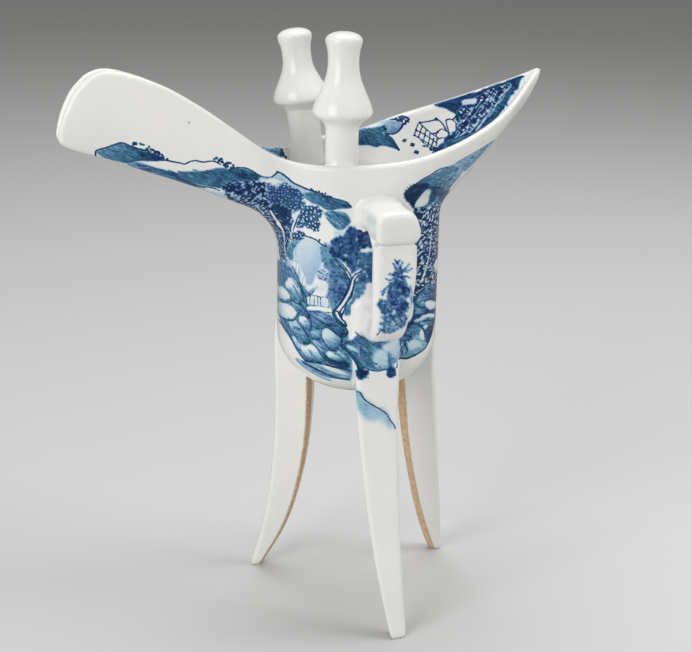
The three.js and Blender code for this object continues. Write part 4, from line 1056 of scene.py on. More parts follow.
def leg_rock(c):
    """The rock over the root of the front leg, and the far shore below it."""
    main = at((343, 345), (347, 341.5), (352, 340), (356, 336), (358, 331), (363, 333), (372, 336), (384, 337), (394, 336), (399, 339), (399, 350), (398, 359), (394, 364), (390, 369), (384, 369.5), (378, 371), (372, 370), (366, 368), (360, 369), (357, 364),
              (352, 357.5), (348, 351))
    c.shape(main, .56, .85, .05, 0, (1.15, .7), .22, -10)
    c.rake(main, -48, 60, 2.6, (.5, .95), .6, .14)
    c.shape(at((374, 353), (380, 349), (387, 352), (388.5, 360), (386, 367), (379, 368.5), (374, 365), (372, 359)), .17, 1, .0, 0, (.6, 1), .7)
    c.shape(at((382, 347), (387, 343), (393, 339), (399, 339), (400, 350), (399, 359), (394, 358), (390, 353), (385, 350.5)), .16, .03, .03, 0, (.2, 1.2), .3, -60)
    c.brush(at((389, 354), (389.5, 361), (391, 368), (391.5, 373)), .3, .7, .62, .15, .55)
    c.brush(at((381, 341), (378.5, 344.5), (381, 347)), .5, .3, .8, .2, .3)
    c.brush(at((357, 332), (362, 336.5), (370, 339.5), (380, 340.5), (390, 339.5)), .42, .3, .85, .3, .25)
    for pts, w, v in ((((350, 353), (355, 358.5), (360, 363.5), (364, 369)), .42, .92), (((352, 350), (358, 354.5), (364, 360), (370, 366)), .3, .8), (((360, 350), (366, 355), (371, 361), (374, 366)), .26, .75), (((345, 343), (351, 342), (356, 345), (361, 349)), .3, .7),
                      (((352, 341), (356, 344), (358, 348)), .25, .7), (((364, 352), (368, 356)), .25, .85), (((357, 364), (360, 360), (363, 358)), .3, .9)):
        c.brush(at(*pts), w, .1, v, .35, .18)
    c.shape(at((346, 345), (351, 345.5), (356, 348.5), (358, 352), (353, 351), (348, 349)), .2, 1, .0, 0, (.4, 1), .3)
    c.stroke(at((344, 344.5), (347, 342), (352, 341), (357, 344)), .24, .16)
    c.stroke(at((343, 345), (347, 350.5), (352, 357), (356, 362.5), (358, 367), (359.5, 371)), .28, .34)
    c.stroke(at((360, 367), (366, 368.3), (372, 370.3), (378, 371.2), (384, 369.8), (390, 368.5)), .2, .17)
    c.dots(at((371.5, 358.5), (372.5, 362), (376.2, 364), (380, 366.5), (366, 356)), .3)
    c.daubs(at((357, 371.5), (360, 369), (364, 371), (367, 369.5), (367.5, 373), (365, 377), (361, 379), (357.5, 375.5)), 95, (.16, .42), (.86, 1), (0, .1))
    c.daubs(at((387.5, 370), (391, 367), (394.5, 370), (394.5, 375), (391, 377), (388, 375)), 65, (.16, .4), (.86, 1), (0, .1))
    c.dots(at((368, 377.8), (397, 362.5), (397, 367), (397.5, 365)), .27)
    line = ((356, 391), (360, 392.3), (362, 396), (365, 400), (370, 403.5), (376, 407), (382, 410.3), (387, 414.5), (390, 420), (393.5, 424.5), (395.5, 429))
    low = ((395, 434), (390, 432), (385, 426), (379, 421), (373, 421), (367, 420), (361, 414), (357, 405))
    c.shape(at(*line, *low), .3, .75, .0, 0, (1.1, .0), .8, -65)
    for pts, r in ((((359, 397), (360, 404), (361, 409)), 1.0), (((366, 404), (370, 410), (373, 416)), 1.1), (((380, 412), (386, 418), (390, 426)), 1.2)):
        c.brush(at(*pts), r, .5, .2, .7, 1.0)
    c.stroke(at(*line), .2, .15)


def elsewhere(c):
    """The sides and back that aren't seen: hills, trees and rocks of the same kind."""
    g = c.rng
    turn = 2 * math.pi * CUP_R
    for a, z, w, h in ((128, 112, 20, 9), (170, 108, 18, 8), (-150, 110, 17, 8), (-178, 106, 14, 6)):
        s0 = CUP_R * math.radians(a)
        state = g.bit_generator.state
        for s in (s0, s0 + (-turn if a > 0 else turn)):
            g.bit_generator.state = state
            top = np.array([(s - w / 2, z - h * .55), (s - w * .3, z), (s - w * .08, z + h * .3), (s + w * .12, z - h * .02), (s + w * .3, z - h * .1), (s + w / 2, z - h * .6)])
            hill = np.concatenate([top, [(s + w * .2, z - h * .9), (s - w * .2, z - h)]])
            c.shape(hill, .42, .9, .1, 0, (1, .2))
            c.rake(hill, -35, 40, 3, (.35, .7), .85, .17)
            c.stroke(top, .22)
            scrub(c, top[2:5], 8)
    for a in np.arange(62, 262, 7.5):
        for z, size in ((101, 4.6), (96, 5.6), (91, 6.2)):
            if g.uniform() < .72:
                s = CUP_R * math.radians(a + g.uniform(-3, 3))
                zz = z + g.uniform(-1.5, 1.5) - 3 * math.sin(math.radians(a * 3))
                tall, w = size * g.uniform(.7, 1.2), size * g.uniform(1, 1.7)
                state = g.bit_generator.state
                for shift in (0, -turn):
                    g.bit_generator.state = state
                    c.rock(s + shift, zz, w, tall)
    for a, z, w, h in ((112, 103, 11, 13), (150, 99, 8, 10), (-128, 104, 11, 13), (-165, 100, 9, 12), (84, 104, 8, 12)):
        s0 = CUP_R * math.radians(a)
        crown = np.array([(-.5, .05), (-.42, .3), (-.2, .5), (.08, .52), (.34, .4), (.5, .12), (.4, -.16), (.15, -.3), (-.12, -.26), (-.36, -.22)]) * [w, h]
        state = g.bit_generator.state
        for shift in (0, -turn if a > 0 else turn):
            g.bit_generator.state = state
            p = np.array([s0 + shift, z])
            ringed = a in (150, -128)
            c.mass(lumpy(crown * .95 + p, g, .4, 1.1), "ring" if ringed else "dab", 1.0 if ringed else .55, .25, .3)
            if not ringed:
                c.daubs(crown * .9 + p, 130, (.4, .9), (.6, .95), (.05, .5))
                c.spare(p + g.uniform(-.3, .35, (7, 2)) * [w, h], .36, .75)
            c.reserve([p + [w * .02, -h * .05], p + [-w * .06, -h * .35], p + [w * .06, -h * .8]], .3, .55, .16)
            c.reserve([p + [w * .2, h * .08], p + [w * .08, -h * .12], p + [-w * .04, -h * .34]], .2, .3, .14)
    for row, (z, size) in enumerate(((88, 5.4), (84.5, 5.8), (80.5, 6.2), (76.5, 6.2), (72.8, 5.4))):
        n = 24
        for k in range(n):
            a = -180 + 360 * (k + .5 * (row % 2)) / n + g.uniform(-4, 4)
            s = CUP_R * math.radians(a)
            zz, w, h = z + g.uniform(-1.3, 1.3), size * g.uniform(.9, 1.9), size * g.uniform(.6, 1.15)
            if (40 < a and zz < 84 - .4 * (a - 64)) or (a < -90 and zz < 83 - .45 * (-a - 102)):
                continue
            state = g.bit_generator.state
            for shift in (0, -turn if a > 0 else turn):
                g.bit_generator.state = state
                c.rock(s + shift, zz, w, h)
    for a in np.arange(-180, 180, 9):
        s = CUP_R * math.radians(a + g.uniform(-3, 3))
        if 40 < a < 102 or -134 < a < -90:
            continue
        c.brush([(s - 2.5, 69.6 + g.uniform(-.5, .5)), (s, 70.1), (s + 2.5, 69.5 + g.uniform(-.5, .5))], .4, .2, .42, .7, .4)
        c.stroke([(s - 2, 69 + g.uniform(-.4, .4)), (s + .3, 69.3), (s + 2.2, 68.9 + g.uniform(-.4, .4))], .12, .07)


def blank(c, pts):
    """White ground, before the front is painted."""
    pts = smooth_loop(pts)
    i = c.box(pts, 1.5)
    w = ramp(-polygon(pts)(c.s[i], c.z[i]), -.4, .4)
    for layer in (c.wash, c.ring, c.fleck, c.dab, c.keep):
        layer[i] *= 1 - w
    c.ink[i] = np.maximum(c.ink[i], 2 * w)


def past(points):
    """Carries the edge of the painting round the side, unevenly."""
    points = points.copy()
    lo, hi = at((276.5, 300), (439, 300))[:, 0]
    run = 1.3 + .75 * np.sin(points[:, 1] * .9) + .5 * np.sin(points[:, 1] * 2.3 + 1)
    points[:, 0] += run * (ramp(points[:, 0], hi - 3, hi - .6) - ramp(-points[:, 0], -lo - 3, -lo - .6))
    return points


def land(c, all_round=True):
    if all_round:
        elsewhere(c)
    c.rng = np.random.default_rng(31)
    s0, s1 = at((276.5, 300), (439, 300))[:, 0]
    blank(c, [(s0 - .5, 60), (s0 - .5, 95), (s0 - 1, 120), (s1 + 1, 120), (s1 + .5, 95), (s1 + .5, 60)])
    flank(c)
    spout_root(c)
    pale_rock(c)
    slabs_left(c)
    big_tree(c)
    pavilion(c)
    right_side(c)
    leg_rock(c)


def inside_of_tail(c, place):
    def pts(*p):
        return seen(p, far_tree, place)
    g = c.rng
    cliff = pts((432, 103.5), (440, 102), (450, 98), (466, 95.5), (480, 92), (492, 86), (505, 82), (522, 76), (519, 84), (513, 92), (507, 103), (500, 112), (491, 121), (480, 130), (467, 138), (452, 146), (433, 153), (440, 144), (448, 137), (456, 130), (459, 122),
                (455, 112), (446, 108), (438, 106))
    c.shape(chiselled(cliff, g, .22), .9, .3, .05, 0, (1, .95), .2, -20, True)
    deep = pts((452, 104), (466, 101), (478, 96), (490, 88), (505, 83), (512, 86), (503, 97), (492, 110), (480, 122), (468, 132), (456, 134), (460, 124), (457, 113))
    c.mass(deep, "fleck", 1.0, .08, .3)
    c.daubs(pts((456, 108), (474, 104), (490, 92), (503, 86), (492, 104), (478, 118), (466, 128), (460, 124)), 34, (.2, .45), (.9, 1), (0, .1))
    c.shape(pts((500, 98), (508, 90), (516, 82), (521, 78), (517, 87), (511, 95), (505, 104), (497, 113), (493, 112)), .78, .55, .08, 0, (1, .8), .3)
    c.rake(pts((500, 98), (508, 90), (516, 82), (521, 78), (517, 87), (511, 95), (505, 104), (497, 113), (493, 112)), 52, 18, 3.0, (.5, .85), .6, .17)
    for a, b in (((463, 134), (472, 123)), ((469, 133), (480, 119)), ((476, 130), (486, 116)), ((471, 119), (481, 105)), ((483, 122), (492, 108)), ((489, 117), (497, 103)), ((484, 104), (494, 93)), ((495, 106), (503, 94)), ((479, 112), (484, 106)), ((500, 96), (508, 88)),
                 ((466, 128), (470, 121)), ((460, 136), (464, 131)), ((474, 126), (478, 120)), ((478, 128), (484, 120)), ((487, 112), (493, 103)), ((491, 100), (497, 92)), ((463, 122), (468, 114)), ((468, 115), (474, 107)), ((476, 107), (481, 100)),
                 ((499, 103), (505, 94)), ((481, 117), (486, 110)), ((455, 138), (459, 133)), ((505, 92), (511, 85)), ((473, 134), (479, 127))):
        c.reserve(pts(a, ((a[0] + b[0]) / 2 + .5, (a[1] + b[1]) / 2 + .4), b), .1, .05, 0)
    c.shape(pts((460, 102.5), (464, 99.5), (472, 98.5), (477, 99), (475, 103.5), (468, 104.5), (463, 105)), .04, .4, .05, 0, (0, 1), .18)
    c.shape(pts((432, 103.5), (440, 102), (448, 99), (456, 98.5), (462, 103), (460, 109), (452, 112), (446, 108.5), (438, 106.3)), .9, .15, .0, 0, (.9, 1), .2)
    c.rake(pts((432, 103.5), (440, 102), (448, 99), (456, 98.5), (462, 103), (460, 109), (452, 112), (446, 108.5), (438, 106.3)), 20, 16, 2.2, (.9, 1), .1, .2)
    c.stroke(pts((452, 97.5), (460, 96), (468, 95)), .3, .2)
    c.stroke(pts((478, 94), (488, 88), (498, 85), (510, 80), (522, 76)), .3, .36)
    foot = pts((433, 153), (440, 145), (448, 140), (458, 137.5), (468, 135), (476, 131), (470, 137), (458, 144), (445, 150))
    c.shape(foot, .7, .7, .05, 0, (.7, 1), .2)
    c.rake(foot, 26, 30, 2.6, (.75, 1), .4, .18)
    c.stroke(pts((433, 153.5), (446, 149.5), (458, 144), (470, 137.5), (482, 129), (494, 118), (504, 106.5)), .24, .2)
    # pavilion with a railed walk
    for w, line in ((.27, ((420, 122.5), (428, 121.5), (437, 119.3))), (.3, ((437, 119.3), (441, 122), (444.5, 127), (447, 131.5), (449.5, 132.5))), (.27, ((421, 124.5), (426, 129), (432, 134), (438, 137.5))), (.22, ((432, 134), (436, 133), (439, 130.5), (442, 129), (446, 131))),
                    (.27, ((446, 120.5), (449, 119), (453, 119.5), (457, 115), (459, 117))), (.25, ((453, 119.5), (456, 123), (460, 125.5))), (.2, ((446, 121), (447, 126), (449, 132))), (.2, ((456, 124), (456, 131), (453, 135))), (.2, ((436, 134), (437, 140), (436, 146))),
                    (.24, ((416, 130), (422, 133), (429, 137.5), (437, 143))), (.24, ((414, 135), (421, 139), (428, 143.5), (435, 148))), (.2, ((420, 140), (427, 145.5), (433, 150))), (.22, ((418, 124), (416, 130), (414, 136))), (.2, ((422, 127), (420, 133), (418, 138))), (.2, ((426, 130), (424.5, 136.5), (423, 143))),
                    (.2, ((430, 134), (429, 141), (427, 147))), (.22, ((434, 138), (432, 145), (430, 150))), (.2, ((438, 139), (442, 138), (447, 138))), (.2, ((449, 132.5), (448, 137)))):
        c.stroke(pts(*line), w * .62, w * .5)
    c.dots(pts((420, 122.8), (436.3, 119.2), (437.5, 132.5), (416, 130.2), (414.5, 135.5), (424, 146), (431, 149.5)), .32)
    # hill and birds on the left
    c.shape(pts((356, 130), (364, 127.5), (372, 125.5), (380, 122), (388, 120.5), (384, 126), (388, 131), (382, 133), (390, 137), (394, 141), (398, 149), (390, 147), (382, 145.5), (376, 147), (368, 145), (356, 144)), .66, .75, .05, 0, (.75, 1.05), .22)
    c.rake(pts((356, 130), (368, 128), (380, 124), (384, 126), (386, 132), (392, 140), (397, 148), (384, 145), (370, 144), (356, 143)), -22, 44, 2.8, (.65, .95), .55, .2)
    c.shape(pts((383, 122), (389, 119.5), (396, 121.5), (402, 123), (401, 128), (396, 132), (390, 133.5), (385, 130)), .34, .5, .1, 0, (.3, 1), .2)
    c.shape(pts((362, 126.8), (370, 124.8), (380, 122.5), (384, 124), (378, 127), (369, 128.3)), .1, .9, .0, 0, (.3, 1), .3)
    c.stroke(pts((358, 126.5), (368, 123.5), (378, 121.5), (388, 119), (396, 119.5), (402, 121.5)), .2, .24)
    c.stroke(pts((403, 124), (401, 128), (396.5, 132.5), (391, 134), (385, 133)), .26, .2)
    c.stroke(pts((386, 134.5), (391, 138), (394.5, 143), (398.5, 149.5)), .24, .34)
    c.dots(pts((396, 118.5), (399, 117), (401.5, 116.3), (404, 116.5), (406.5, 117.5), (408.5, 119), (403, 119), (406, 121), (400.5, 119.3), (408, 121.5), (405, 123.5), (398, 120.5), (383.5, 127), (385.5, 129)), .42)
    for p in ((404.6, 140.4), (412.5, 144.7), (416.6, 152.2)):
        c.dots(pts(p), .44)
        c.stroke(pts((p[0] - 2, p[1] + .7), p, (p[0] + 2, p[1] - .8)), .18, .14)


def inside_of_spout(c, place):
    def pts(*p):
        return seen(p, far_tree, place)
    hill = pts((255, 143), (262, 145.5), (270, 145.5), (280, 145.5), (281, 151), (281, 157), (274, 153.5), (266, 150), (260, 147))
    c.shape(hill, .5, .85, .1, 0, (.6, 1), .25)
    c.rake(hill, -25, 14, 2.4, (.6, .9), .6, .18)
    c.dots(pts((281.5, 146), (281.5, 149), (282, 152), (283.5, 155), (286, 157.5), (281, 154.5)), .45)


def strap_pine(c, place, tree):
    def pts(*p):
        return seen([(345 + x / 6, 180 + y / 6) for x, y in p], tree, place)
    c.daubs(pts((304, 506), (313, 492), (322, 504), (331, 532), (341, 556), (352, 586), (372, 616), (387, 650), (385, 694), (340, 704), (278, 694), (262, 660), (262, 626), (280, 600), (290, 570), (297, 540)), 170, (.12, .34), (.5, .97), (0, .25), .28)
    c.daubs(pts((286, 520), (320, 480), (352, 500), (366, 540), (330, 560)), 26, (.08, .2), (.4, .8), (0, .3), .22)
    c.daubs(pts((270, 640), (310, 600), (352, 620), (380, 660), (382, 740), (340, 800), (280, 790), (230, 800), (196, 776), (200, 720), (250, 720)), 210, (.22, .5), (.55, .98), (0, .4), .3)
    c.daubs(pts((230, 800), (300, 790), (376, 760), (372, 840), (330, 900), (250, 920), (205, 900)), 110, (.22, .5), (.35, .8), (.1, .7), .32)
    for a, b, d in (((320, 560), (300, 520), (286, 496)), ((330, 545), (334, 515), (350, 495)), ((335, 560), (362, 535), (388, 500)), ((316, 580), (290, 576), (272, 560)), ((310, 610), (270, 630), (218, 672)), ((336, 590), (352, 585), (364, 600)),
                    ((340, 540), (372, 548), (404, 530)), ((225, 690), (240, 660), (262, 640)), ((302, 556), (282, 570), (262, 566)), ((296, 590), (270, 600), (244, 594)), ((332, 548), (350, 544), (368, 552)), ((344, 584), (366, 578), (390, 588)),
                    ((312, 500), (306, 488), (296, 478)), ((316, 498), (324, 486), (336, 480))):
        c.brush(pts(a, b, d), .2, .06, .92, .1, .2)
    c.stroke(pts((322, 535), (325, 570), (326, 610)), .1, .16)
    c.stroke(pts((192, 930), (215, 905), (240, 890), (232, 860), (250, 830)), .2, .12)
    c.stroke(pts((250, 920), (275, 880), (300, 850), (290, 820)), .17, .12)
    c.brush(pts((398, 700), (400, 760), (392, 820)), .35, .3, .35, .5, .3)
    c.brush(pts((392, 640), (402, 680)), .3, .2, .3, .3, .3)
    c.spare(pts((286, 810), (262, 830), (310, 840), (340, 700), (235, 740)), .32, .5)


def store(obj, parts, bare=None, pool=None, canvas=None):
    """Writes the paint of one piece. Parts are (canvas, weight) pairs."""
    n = len(obj.data.vertices)
    soft = {k: np.zeros(n) for k in ("wash", "hue", "ring", "fleck", "dab", "keep")}
    ink = np.full(n, 2.0)
    total = np.zeros(n)
    for c, w in parts:
        for k in soft:
            soft[k] += c.spread(k, n) * w
        total += w
        ink = np.minimum(ink, c.spread("ink", n, 2.0) + 3 * (1 - np.clip(w, 0, 1)))
    hue = np.where(total > 1e-3, soft["hue"] / np.maximum(total, 1e-3), .5)
    zero = np.zeros(n)
    for name, four in (("paint_a", (soft["wash"], hue, soft["ring"], soft["fleck"])), ("paint_b", (np.clip(ink, -1, 2), soft["dab"], soft["keep"], zero if bare is None else bare))):
        layer = obj.data.color_attributes.new(name, "FLOAT_COLOR", "POINT")
        layer.data.foreach_set("color", np.stack(four, 1).astype(np.float32).ravel())
    layer = obj.data.attributes.new("pool", "FLOAT", "POINT")
    layer.data.foreach_set("value", (zero if pool is None else pool).astype(np.float32))
    layer = obj.data.attributes.new("sheet", "FLOAT_VECTOR", "POINT")
    flat = np.zeros((n, 3)) if canvas is None else canvas
    layer.data.foreach_set("vector", flat.astype(np.float32).ravel())


def crease(field, P, e=1.1):
    """How hollow the form is at each point, for the glaze that gathers there."""
    x, y, z = P.T
    around = (field(x + e, y, z) + field(x - e, y, z) + field(x, y + e, z) + field(x, y - e, z) + field(x, y, z + e) + field(x, y, z - e) - 6 * field(x, y, z)) / (e * e)
    return np.clip(-around * 1.6, 0, 1)


def side_place(h):
    return np.array([h[0, 0], h[0, 2]])


def bare_face(name, P):
    """The narrow inner face of a leg, left without glaze."""
    x, y, z = P.T
    q, t = leg_axes(name)[0](x, y, z)
    bare = ramp(-(q + leg_d(z) / 2), -.6, -.1) * ramp(-z, -68, -63)
    return bare * ramp(t, -.9, .1) if name == "leg_rear_left" else bare


for name in ("cup_body", "spout_trough", "tail_scoop", "leg_front_sabre"):
    obj = pieces[name]
    P = points_of(obj)
    leg = name == "leg_front_sabre"
    b = body(*P.T)
    outer = np.ones(len(P)) if leg else ramp(b, -1.2, -.5)
    s, m = girth(P)
    if leg:
        s, m = CUP_R * turn_of(P), m * 0
    x, y, z = P.T
    far = np.where(y > 0, ramp(m, .3, .7) * np.maximum(ramp(-x, 12, 17), ramp(x, 10, 15)), 0)
    near = outer * (1 - far) * (1 - ramp(y, 4, 8) * ramp(z, 111, 114))
    q = leg_axes("leg_front")[0](x, y, z)[0] / (leg_d(z) / 2)
    if leg:
        near = np.maximum(ramp(q, .1, .6), ramp(z, 64, 68))
    near_canvas = Canvas(s, z, 11, near)
    land(near_canvas, not leg)
    sheet = np.stack([s - .58 * np.clip(s - 14, 0, 21), z, np.zeros(len(P))], 1)
    parts = [(near_canvas, near)]
    if not leg:
        mirrored = P * [1, -1, 1]
        mirrored[:, 1] = -np.abs(mirrored[:, 1])
        far_s = girth(mirrored)[0]
        far_canvas = Canvas(far_s + 1.0, z, 12, outer * far)
        land(far_canvas, False)
        parts.append((far_canvas, outer * far))
        sheet[:, 0] = np.where(far > .5, far_s + 40, sheet[:, 0])
        inner = ramp(-b, 1.55, 2.2) * ramp(z, 100, 108)
        for paint, shift, rise, seed, reach in ((inside_of_tail, 0, 0, 13, ramp(y, -1, 1) * ramp(x, -10, -4)), (inside_of_tail, -1.5, .4, 14, ramp(-y, -1, 1) * ramp(x, 4, 12)),
                                                (inside_of_spout, 0, 0, 17, ramp(y, -1, 1) * ramp(-x, 12, 14))):
            canvas = Canvas(x + shift, z + rise, seed, inner * reach)
            paint(canvas, side_place)
            parts.append((canvas, inner * reach))
        sheet[inner > .5] = np.stack([x + 200, z, y * 0], 1)[inner > .5]
        store(obj, parts, None, crease(shell, P), sheet)
    else:
        store(obj, parts, bare_face("leg_front", P), None, sheet)

obj = pieces["handle_strap_loop"]
P = points_of(obj)
pine = Canvas(P[:, 0], P[:, 2], 16)
strap_pine(pine, side_place, tree_of(obj))
store(obj, [(pine, ramp(-P[:, 1], 25.5, 28.5))], None, None, np.stack([P[:, 0] + 300, P[:, 2], P[:, 1]], 1))

for name, obj in pieces.items():
    if not obj.data.color_attributes.get("paint_a"):
        store(obj, [], bare_face(name[:-6], points_of(obj)) if name.startswith("leg_rear") else None)


# --------------------------------------------------------------- materials
def glaze(name, painted):
    """Clear glaze over white clay, with cobalt under it where painted, iron specks, and bare clay where the kiln shelf or a
    brush left none."""
    mat = bpy.data.materials.new(name)
    mat.use_nodes = True
    nt = mat.node_tree
    bsdf = next(n for n in nt.nodes if n.type == "BSDF_PRINCIPLED")

    def node(kind, **settings):
        n = nt.nodes.new(kind)
        for k, v in settings.items():
            setattr(n, k, v)
        return n

    def put(socket, value):
        if isinstance(value, (int, float)):
            socket.default_value = value
        elif isinstance(value, tuple):
            socket.default_value = value
        else:
            nt.links.new(value, socket)

    def calc(op, a, b=0.0, c=0.0, clamp=False):
        n = node("ShaderNodeMath", operation=op, use_clamp=clamp)
        for s, v in zip(n.inputs, (a, b, c)):
            put(s, v)
        return n.outputs[0]

    def step(value, lo, hi, out0=0.0, out1=1.0):
        n = node("ShaderNodeMapRange", interpolation_type="SMOOTHSTEP")
        for s, v in zip(n.inputs, (value, lo, hi, out0, out1)):
            put(s, v)
        return n.outputs[0]

    def mix(factor, a, b, blend="MIX"):
        n = node("ShaderNodeMix", data_type="RGBA", blend_type=blend)
        put(n.inputs[0], factor)
        put(n.inputs[6], a)
        put(n.inputs[7], b)
        return n.outputs[2]

    def noise(vector, scale, detail=2.0, rough=.5, dims="3D"):
        n = node("ShaderNodeTexNoise", noise_dimensions=dims)
        put(n.inputs["Vector"], vector)
        put(n.inputs["Scale"], scale)
        put(n.inputs["Detail"], detail)
        put(n.inputs["Roughness"], rough)
        return n.outputs["Fac"]

    def attribute(label):
        return node("ShaderNodeAttribute", attribute_name=label, attribute_type="GEOMETRY")

    place = node("ShaderNodeTexCoord").outputs["Object"]
    b = attribute("paint_b")
    b_rgb = node("ShaderNodeSeparateColor")
    put(b_rgb.inputs[0], b.outputs["Color"])
    ink_gap, dab, keep, bare = b_rgb.outputs[0], b_rgb.outputs[1], b_rgb.outputs[2], b.outputs["Alpha"]
    pool = attribute("pool").outputs["Fac"]

    # white clay under the glaze: cooler where the glaze lies thick
    tone = noise(place, 38, 3, .55)
    white = mix(step(tone, .35, .68), (.785, .775, .742, 1), (.745, .75, .738, 1))
    white = mix(calc("MULTIPLY", pool, .45), white, (.60, .66, .665, 1))
    fine = noise(place, 420, 2, .5)
    white = mix(step(fine, .3, .8, 0, .14), white, (.68, .685, .67, 1))

    if painted:
        a = attribute("paint_a")
        a_rgb = node("ShaderNodeSeparateColor")
        put(a_rgb.inputs[0], a.outputs["Color"])
        wash, hue, ring, fleck = a_rgb.outputs[0], a_rgb.outputs[1], a_rgb.outputs[2], a.outputs["Alpha"]
        sheet = attribute("sheet").outputs["Vector"]
        grain = noise(place, 2400, 3, .6)
        cloud = noise(place, 520, 3, .55)

        def slanted(turn, sx, sy):
            n = node("ShaderNodeMapping", vector_type="TEXTURE")
            put(n.inputs["Vector"], sheet)
            n.inputs["Rotation"].default_value = (0, 0, math.radians(turn))
            n.inputs["Scale"].default_value = (sx, sy, 1)
            return n.outputs[0]

        streak = noise(slanted(-32, 2.2, .42), 1.0, 3, .6, "2D")
        # washes are brushed on, so they carry streaks and pools of colour; the palest are smooth
        brushed = calc("MULTIPLY", calc("MULTIPLY", step(wash, .05, .45), step(hue, .06, .3)), step(streak, .28, .72, -.17, .17))
        washed = calc("ADD", brushed, calc("MULTIPLY", wash, step(cloud, .3, .7, .88, 1.12)))
        # leaves drawn as small rings
        cells = node("ShaderNodeTexVoronoi", voronoi_dimensions="2D", feature="F1")
        put(cells.inputs["Vector"], sheet)
        put(cells.inputs["Scale"], .98)
        put(cells.inputs["Randomness"], .68)
        dist = cells.outputs["Distance"]
        leaf = calc("SUBTRACT", step(dist, .18, .36, .12, .86), step(dist, .46, .60, 0.0, .26))
        leaves = calc("MULTIPLY", ring, calc("MULTIPLY", leaf, step(cloud, .2, .8, .8, 1.2)))

        # thicket: dark, with leaf-shaped flecks left white
        def flecks(turn, length, width, share):
            n = node("ShaderNodeTexVoronoi", voronoi_dimensions="2D", feature="F1")
            put(n.inputs["Vector"], slanted(turn, length, width))
            put(n.inputs["Scale"], 1.0)
            tell = node("ShaderNodeSeparateColor")
            put(tell.inputs[0], n.outputs["Color"])
            return calc("MULTIPLY", step(n.outputs["Distance"], .24, .42, 1, 0), step(tell.outputs[0], share, share + .25))

        light = calc("MAXIMUM", flecks(50, 1.14, .47, .36), flecks(-40, 1.02, .45, .5))
        thicket = calc("MULTIPLY", fleck, calc("SUBTRACT", step(cloud, .25, .75, .80, 1.08), calc("MULTIPLY", light, .86)))
        daubed = calc("MULTIPLY", dab, step(cloud, .25, .75, .78, 1.14))
        gap_edge = calc("ADD", ink_gap, step(grain, .3, .7, -.05, .05))
        inked = calc("MULTIPLY", step(gap_edge, -.06, .07, 1, 0), step(cloud, .25, .75, .72, 1.05))
        colour = calc("MAXIMUM", calc("MAXIMUM", washed, leaves), calc("MAXIMUM", thicket, daubed))
        colour = calc("MAXIMUM", colour, inked)
        colour = calc("MULTIPLY", colour, calc("SUBTRACT", 1.0, keep))
        colour = calc("MULTIPLY", colour, step(grain, .25, .75, .82, 1.12), clamp=True)

        def through(r, g, bl):
            n = node("ShaderNodeCombineColor")
            for s, k, p in zip(n.inputs, (r, g, bl), (1.0, 1.13, 1.42)):
                put(s, calc("POWER", math.exp(-k), calc("POWER", colour, p)))
            return n.outputs[0]

        shift = calc("ADD", hue, step(noise(place, 170, 2, .5), .3, .7, -.38, .3), clamp=True)
        tint = mix(shift, through(5.0, 3.75, 2.35), through(4.9, 3.0, 2.4))
        white = mix(1.0, white, tint, "MULTIPLY")

    # a few specks of iron
    dots = node("ShaderNodeTexVoronoi", feature="F1")
    put(dots.inputs["Vector"], place)
    put(dots.inputs["Scale"], 95)
    some = node("ShaderNodeSeparateColor")
    put(some.inputs[0], dots.outputs["Color"])
    speck = calc("MULTIPLY", step(dots.outputs["Distance"], .012, .03, 1, 0), step(some.outputs[0], .78, .8))
    skin_colour = mix(calc("MULTIPLY", speck, .75), white, (.09, .06, .045, 1))

    # bare clay
    clay_noise = noise(place, 900, 4, .65)
    clay = mix(step(clay_noise, .3, .7), (.44, .285, .15, 1), (.62, .46, .30, 1))
    edge = calc("ADD", bare, step(clay_noise, .3, .7, -.18, .18))
    bare_here = step(edge, .42, .58)
    burnt = step(calc("ABSOLUTE", calc("SUBTRACT", edge, .42)), .02, .13, .5, 0)
    skin_colour = mix(burnt, skin_colour, (.30, .15, .07, 1))
    skin_colour = mix(bare_here, skin_colour, clay)
    put(bsdf.inputs["Base Color"], skin_colour)

    # gloss: nearly a mirror, a little softer in patches; bare clay is dull
    gloss = step(noise(place, 70, 3, .6), .3, .75, .05, .13)
    rough = node("ShaderNodeMix", data_type="FLOAT")
    put(rough.inputs[0], bare_here)
    put(rough.inputs[2], gloss)
    put(rough.inputs[3], .85)
    put(bsdf.inputs["Roughness"], rough.outputs[0])
    bsdf.inputs["IOR"].default_value = 1.5
    bsdf.inputs["Specular IOR Level"].default_value = .42
    bsdf.inputs["Specular Tint"].default_value = (.5, .5, .5, 1) if painted else (.75, .75, .75, 1)

    # hand-thrown unevenness, the fine peel of the glaze, pinholes and the grain of bare clay
    bump = None
    for height, distance, strength in ((noise(place, 55, 2, .5), .0011, .16), (noise(place, 320, 2, .5), .00022, .10), (calc("MULTIPLY", speck, -1.0), .0002, .5),
                                       (calc("MULTIPLY", bare_here, clay_noise), .0004, .6)):
        n = node("ShaderNodeBump")
        n.inputs["Strength"].default_value = strength
        n.inputs["Distance"].default_value = distance
        put(n.inputs["Height"], height)
        if bump is not None:
            nt.links.new(bump, n.inputs["Normal"])
        bump = n.outputs[0]
    nt.links.new(bump, bsdf.inputs["Normal"])
    return mat


painted_glaze, white_glaze = glaze("cobalt_under_glaze", True), glaze("white_glaze", False)
PAINTED_PIECES = ("cup_body", "spout_trough", "tail_scoop", "leg_front_sabre", "handle_strap_loop")
for name, obj in pieces.items():
    obj.data.materials.append(painted_glaze if name in PAINTED_PIECES else white_glaze)

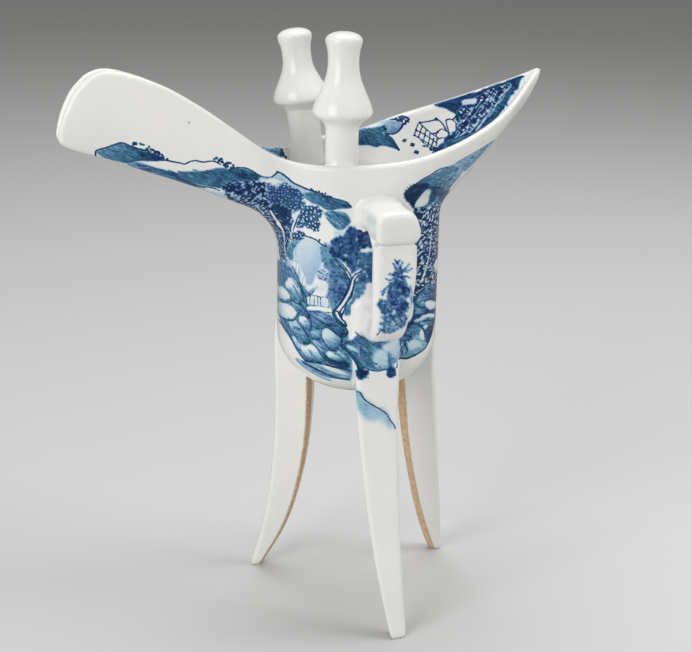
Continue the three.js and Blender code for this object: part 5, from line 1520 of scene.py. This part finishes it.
# ------------------------------------------------------- floor, light, camera
floor_mesh = bpy.data.meshes.new("floor")
floor_mesh.from_pydata([(-4, -4, 0), (4, -4, 0), (4, 4, 0), (-4, 4, 0)], [], [(0, 1, 2, 3)])
floor = bpy.data.objects.new("floor", floor_mesh)
bpy.context.scene.collection.objects.link(floor)
floor.visible_glossy = False
floor_mat = bpy.data.materials.new("floor_paper")
floor_mat.use_nodes = True
fb = next(n for n in floor_mat.node_tree.nodes if n.type == "BSDF_PRINCIPLED")
fb.inputs["Base Color"].default_value = (.58, .58, .58, 1)
fb.inputs["Roughness"].default_value = .7
floor_mesh.materials.append(floor_mat)

world = bpy.data.worlds.new("studio")
bpy.context.scene.world = world
world.use_nodes = True
world.node_tree.nodes["Background"].inputs["Color"].default_value = (1, .985, .96, 1)
world.node_tree.nodes["Background"].inputs["Strength"].default_value = .25


def area(name, loc, target, size, size_y, power):
    light = bpy.data.lights.new(name, "AREA")
    light.shape, light.size, light.size_y, light.energy = "RECTANGLE", size, size_y, power
    obj = bpy.data.objects.new(name, light)
    obj.location = loc
    obj.rotation_euler = (Vector(target) - Vector(loc)).to_track_quat("-Z", "Y").to_euler()
    bpy.context.scene.collection.objects.link(obj)
    return obj


area("left_box", (-.66, -.46, .32), (0, 0, .10), .48, .62, 4.9)
area("right_box", (.66, -.20, .42), (0, 0, .09), .40, .70, 3.5).visible_glossy = False
area("top_box", (.05, .15, .95), (0, 0, .08), .7, .7, 5.6)

cam = bpy.data.cameras.new("camera")
cam.sensor_fit, cam.sensor_width = "HORIZONTAL", 36.0
cam.lens = focal * 36 / 692
cam_obj = bpy.data.objects.new("camera", cam)
bpy.context.scene.collection.objects.link(cam_obj)
m = Matrix.Identity(4)
m.col[0][:3], m.col[1][:3], m.col[2][:3] = Vector(right), Vector(upward), Vector(-look)
m.col[3][:3] = Vector((EYE + OFFSET) / 1000)
cam_obj.matrix_world = m
bpy.context.scene.camera = cam_obj
bpy.context.scene.view_settings.view_transform = "Standard"
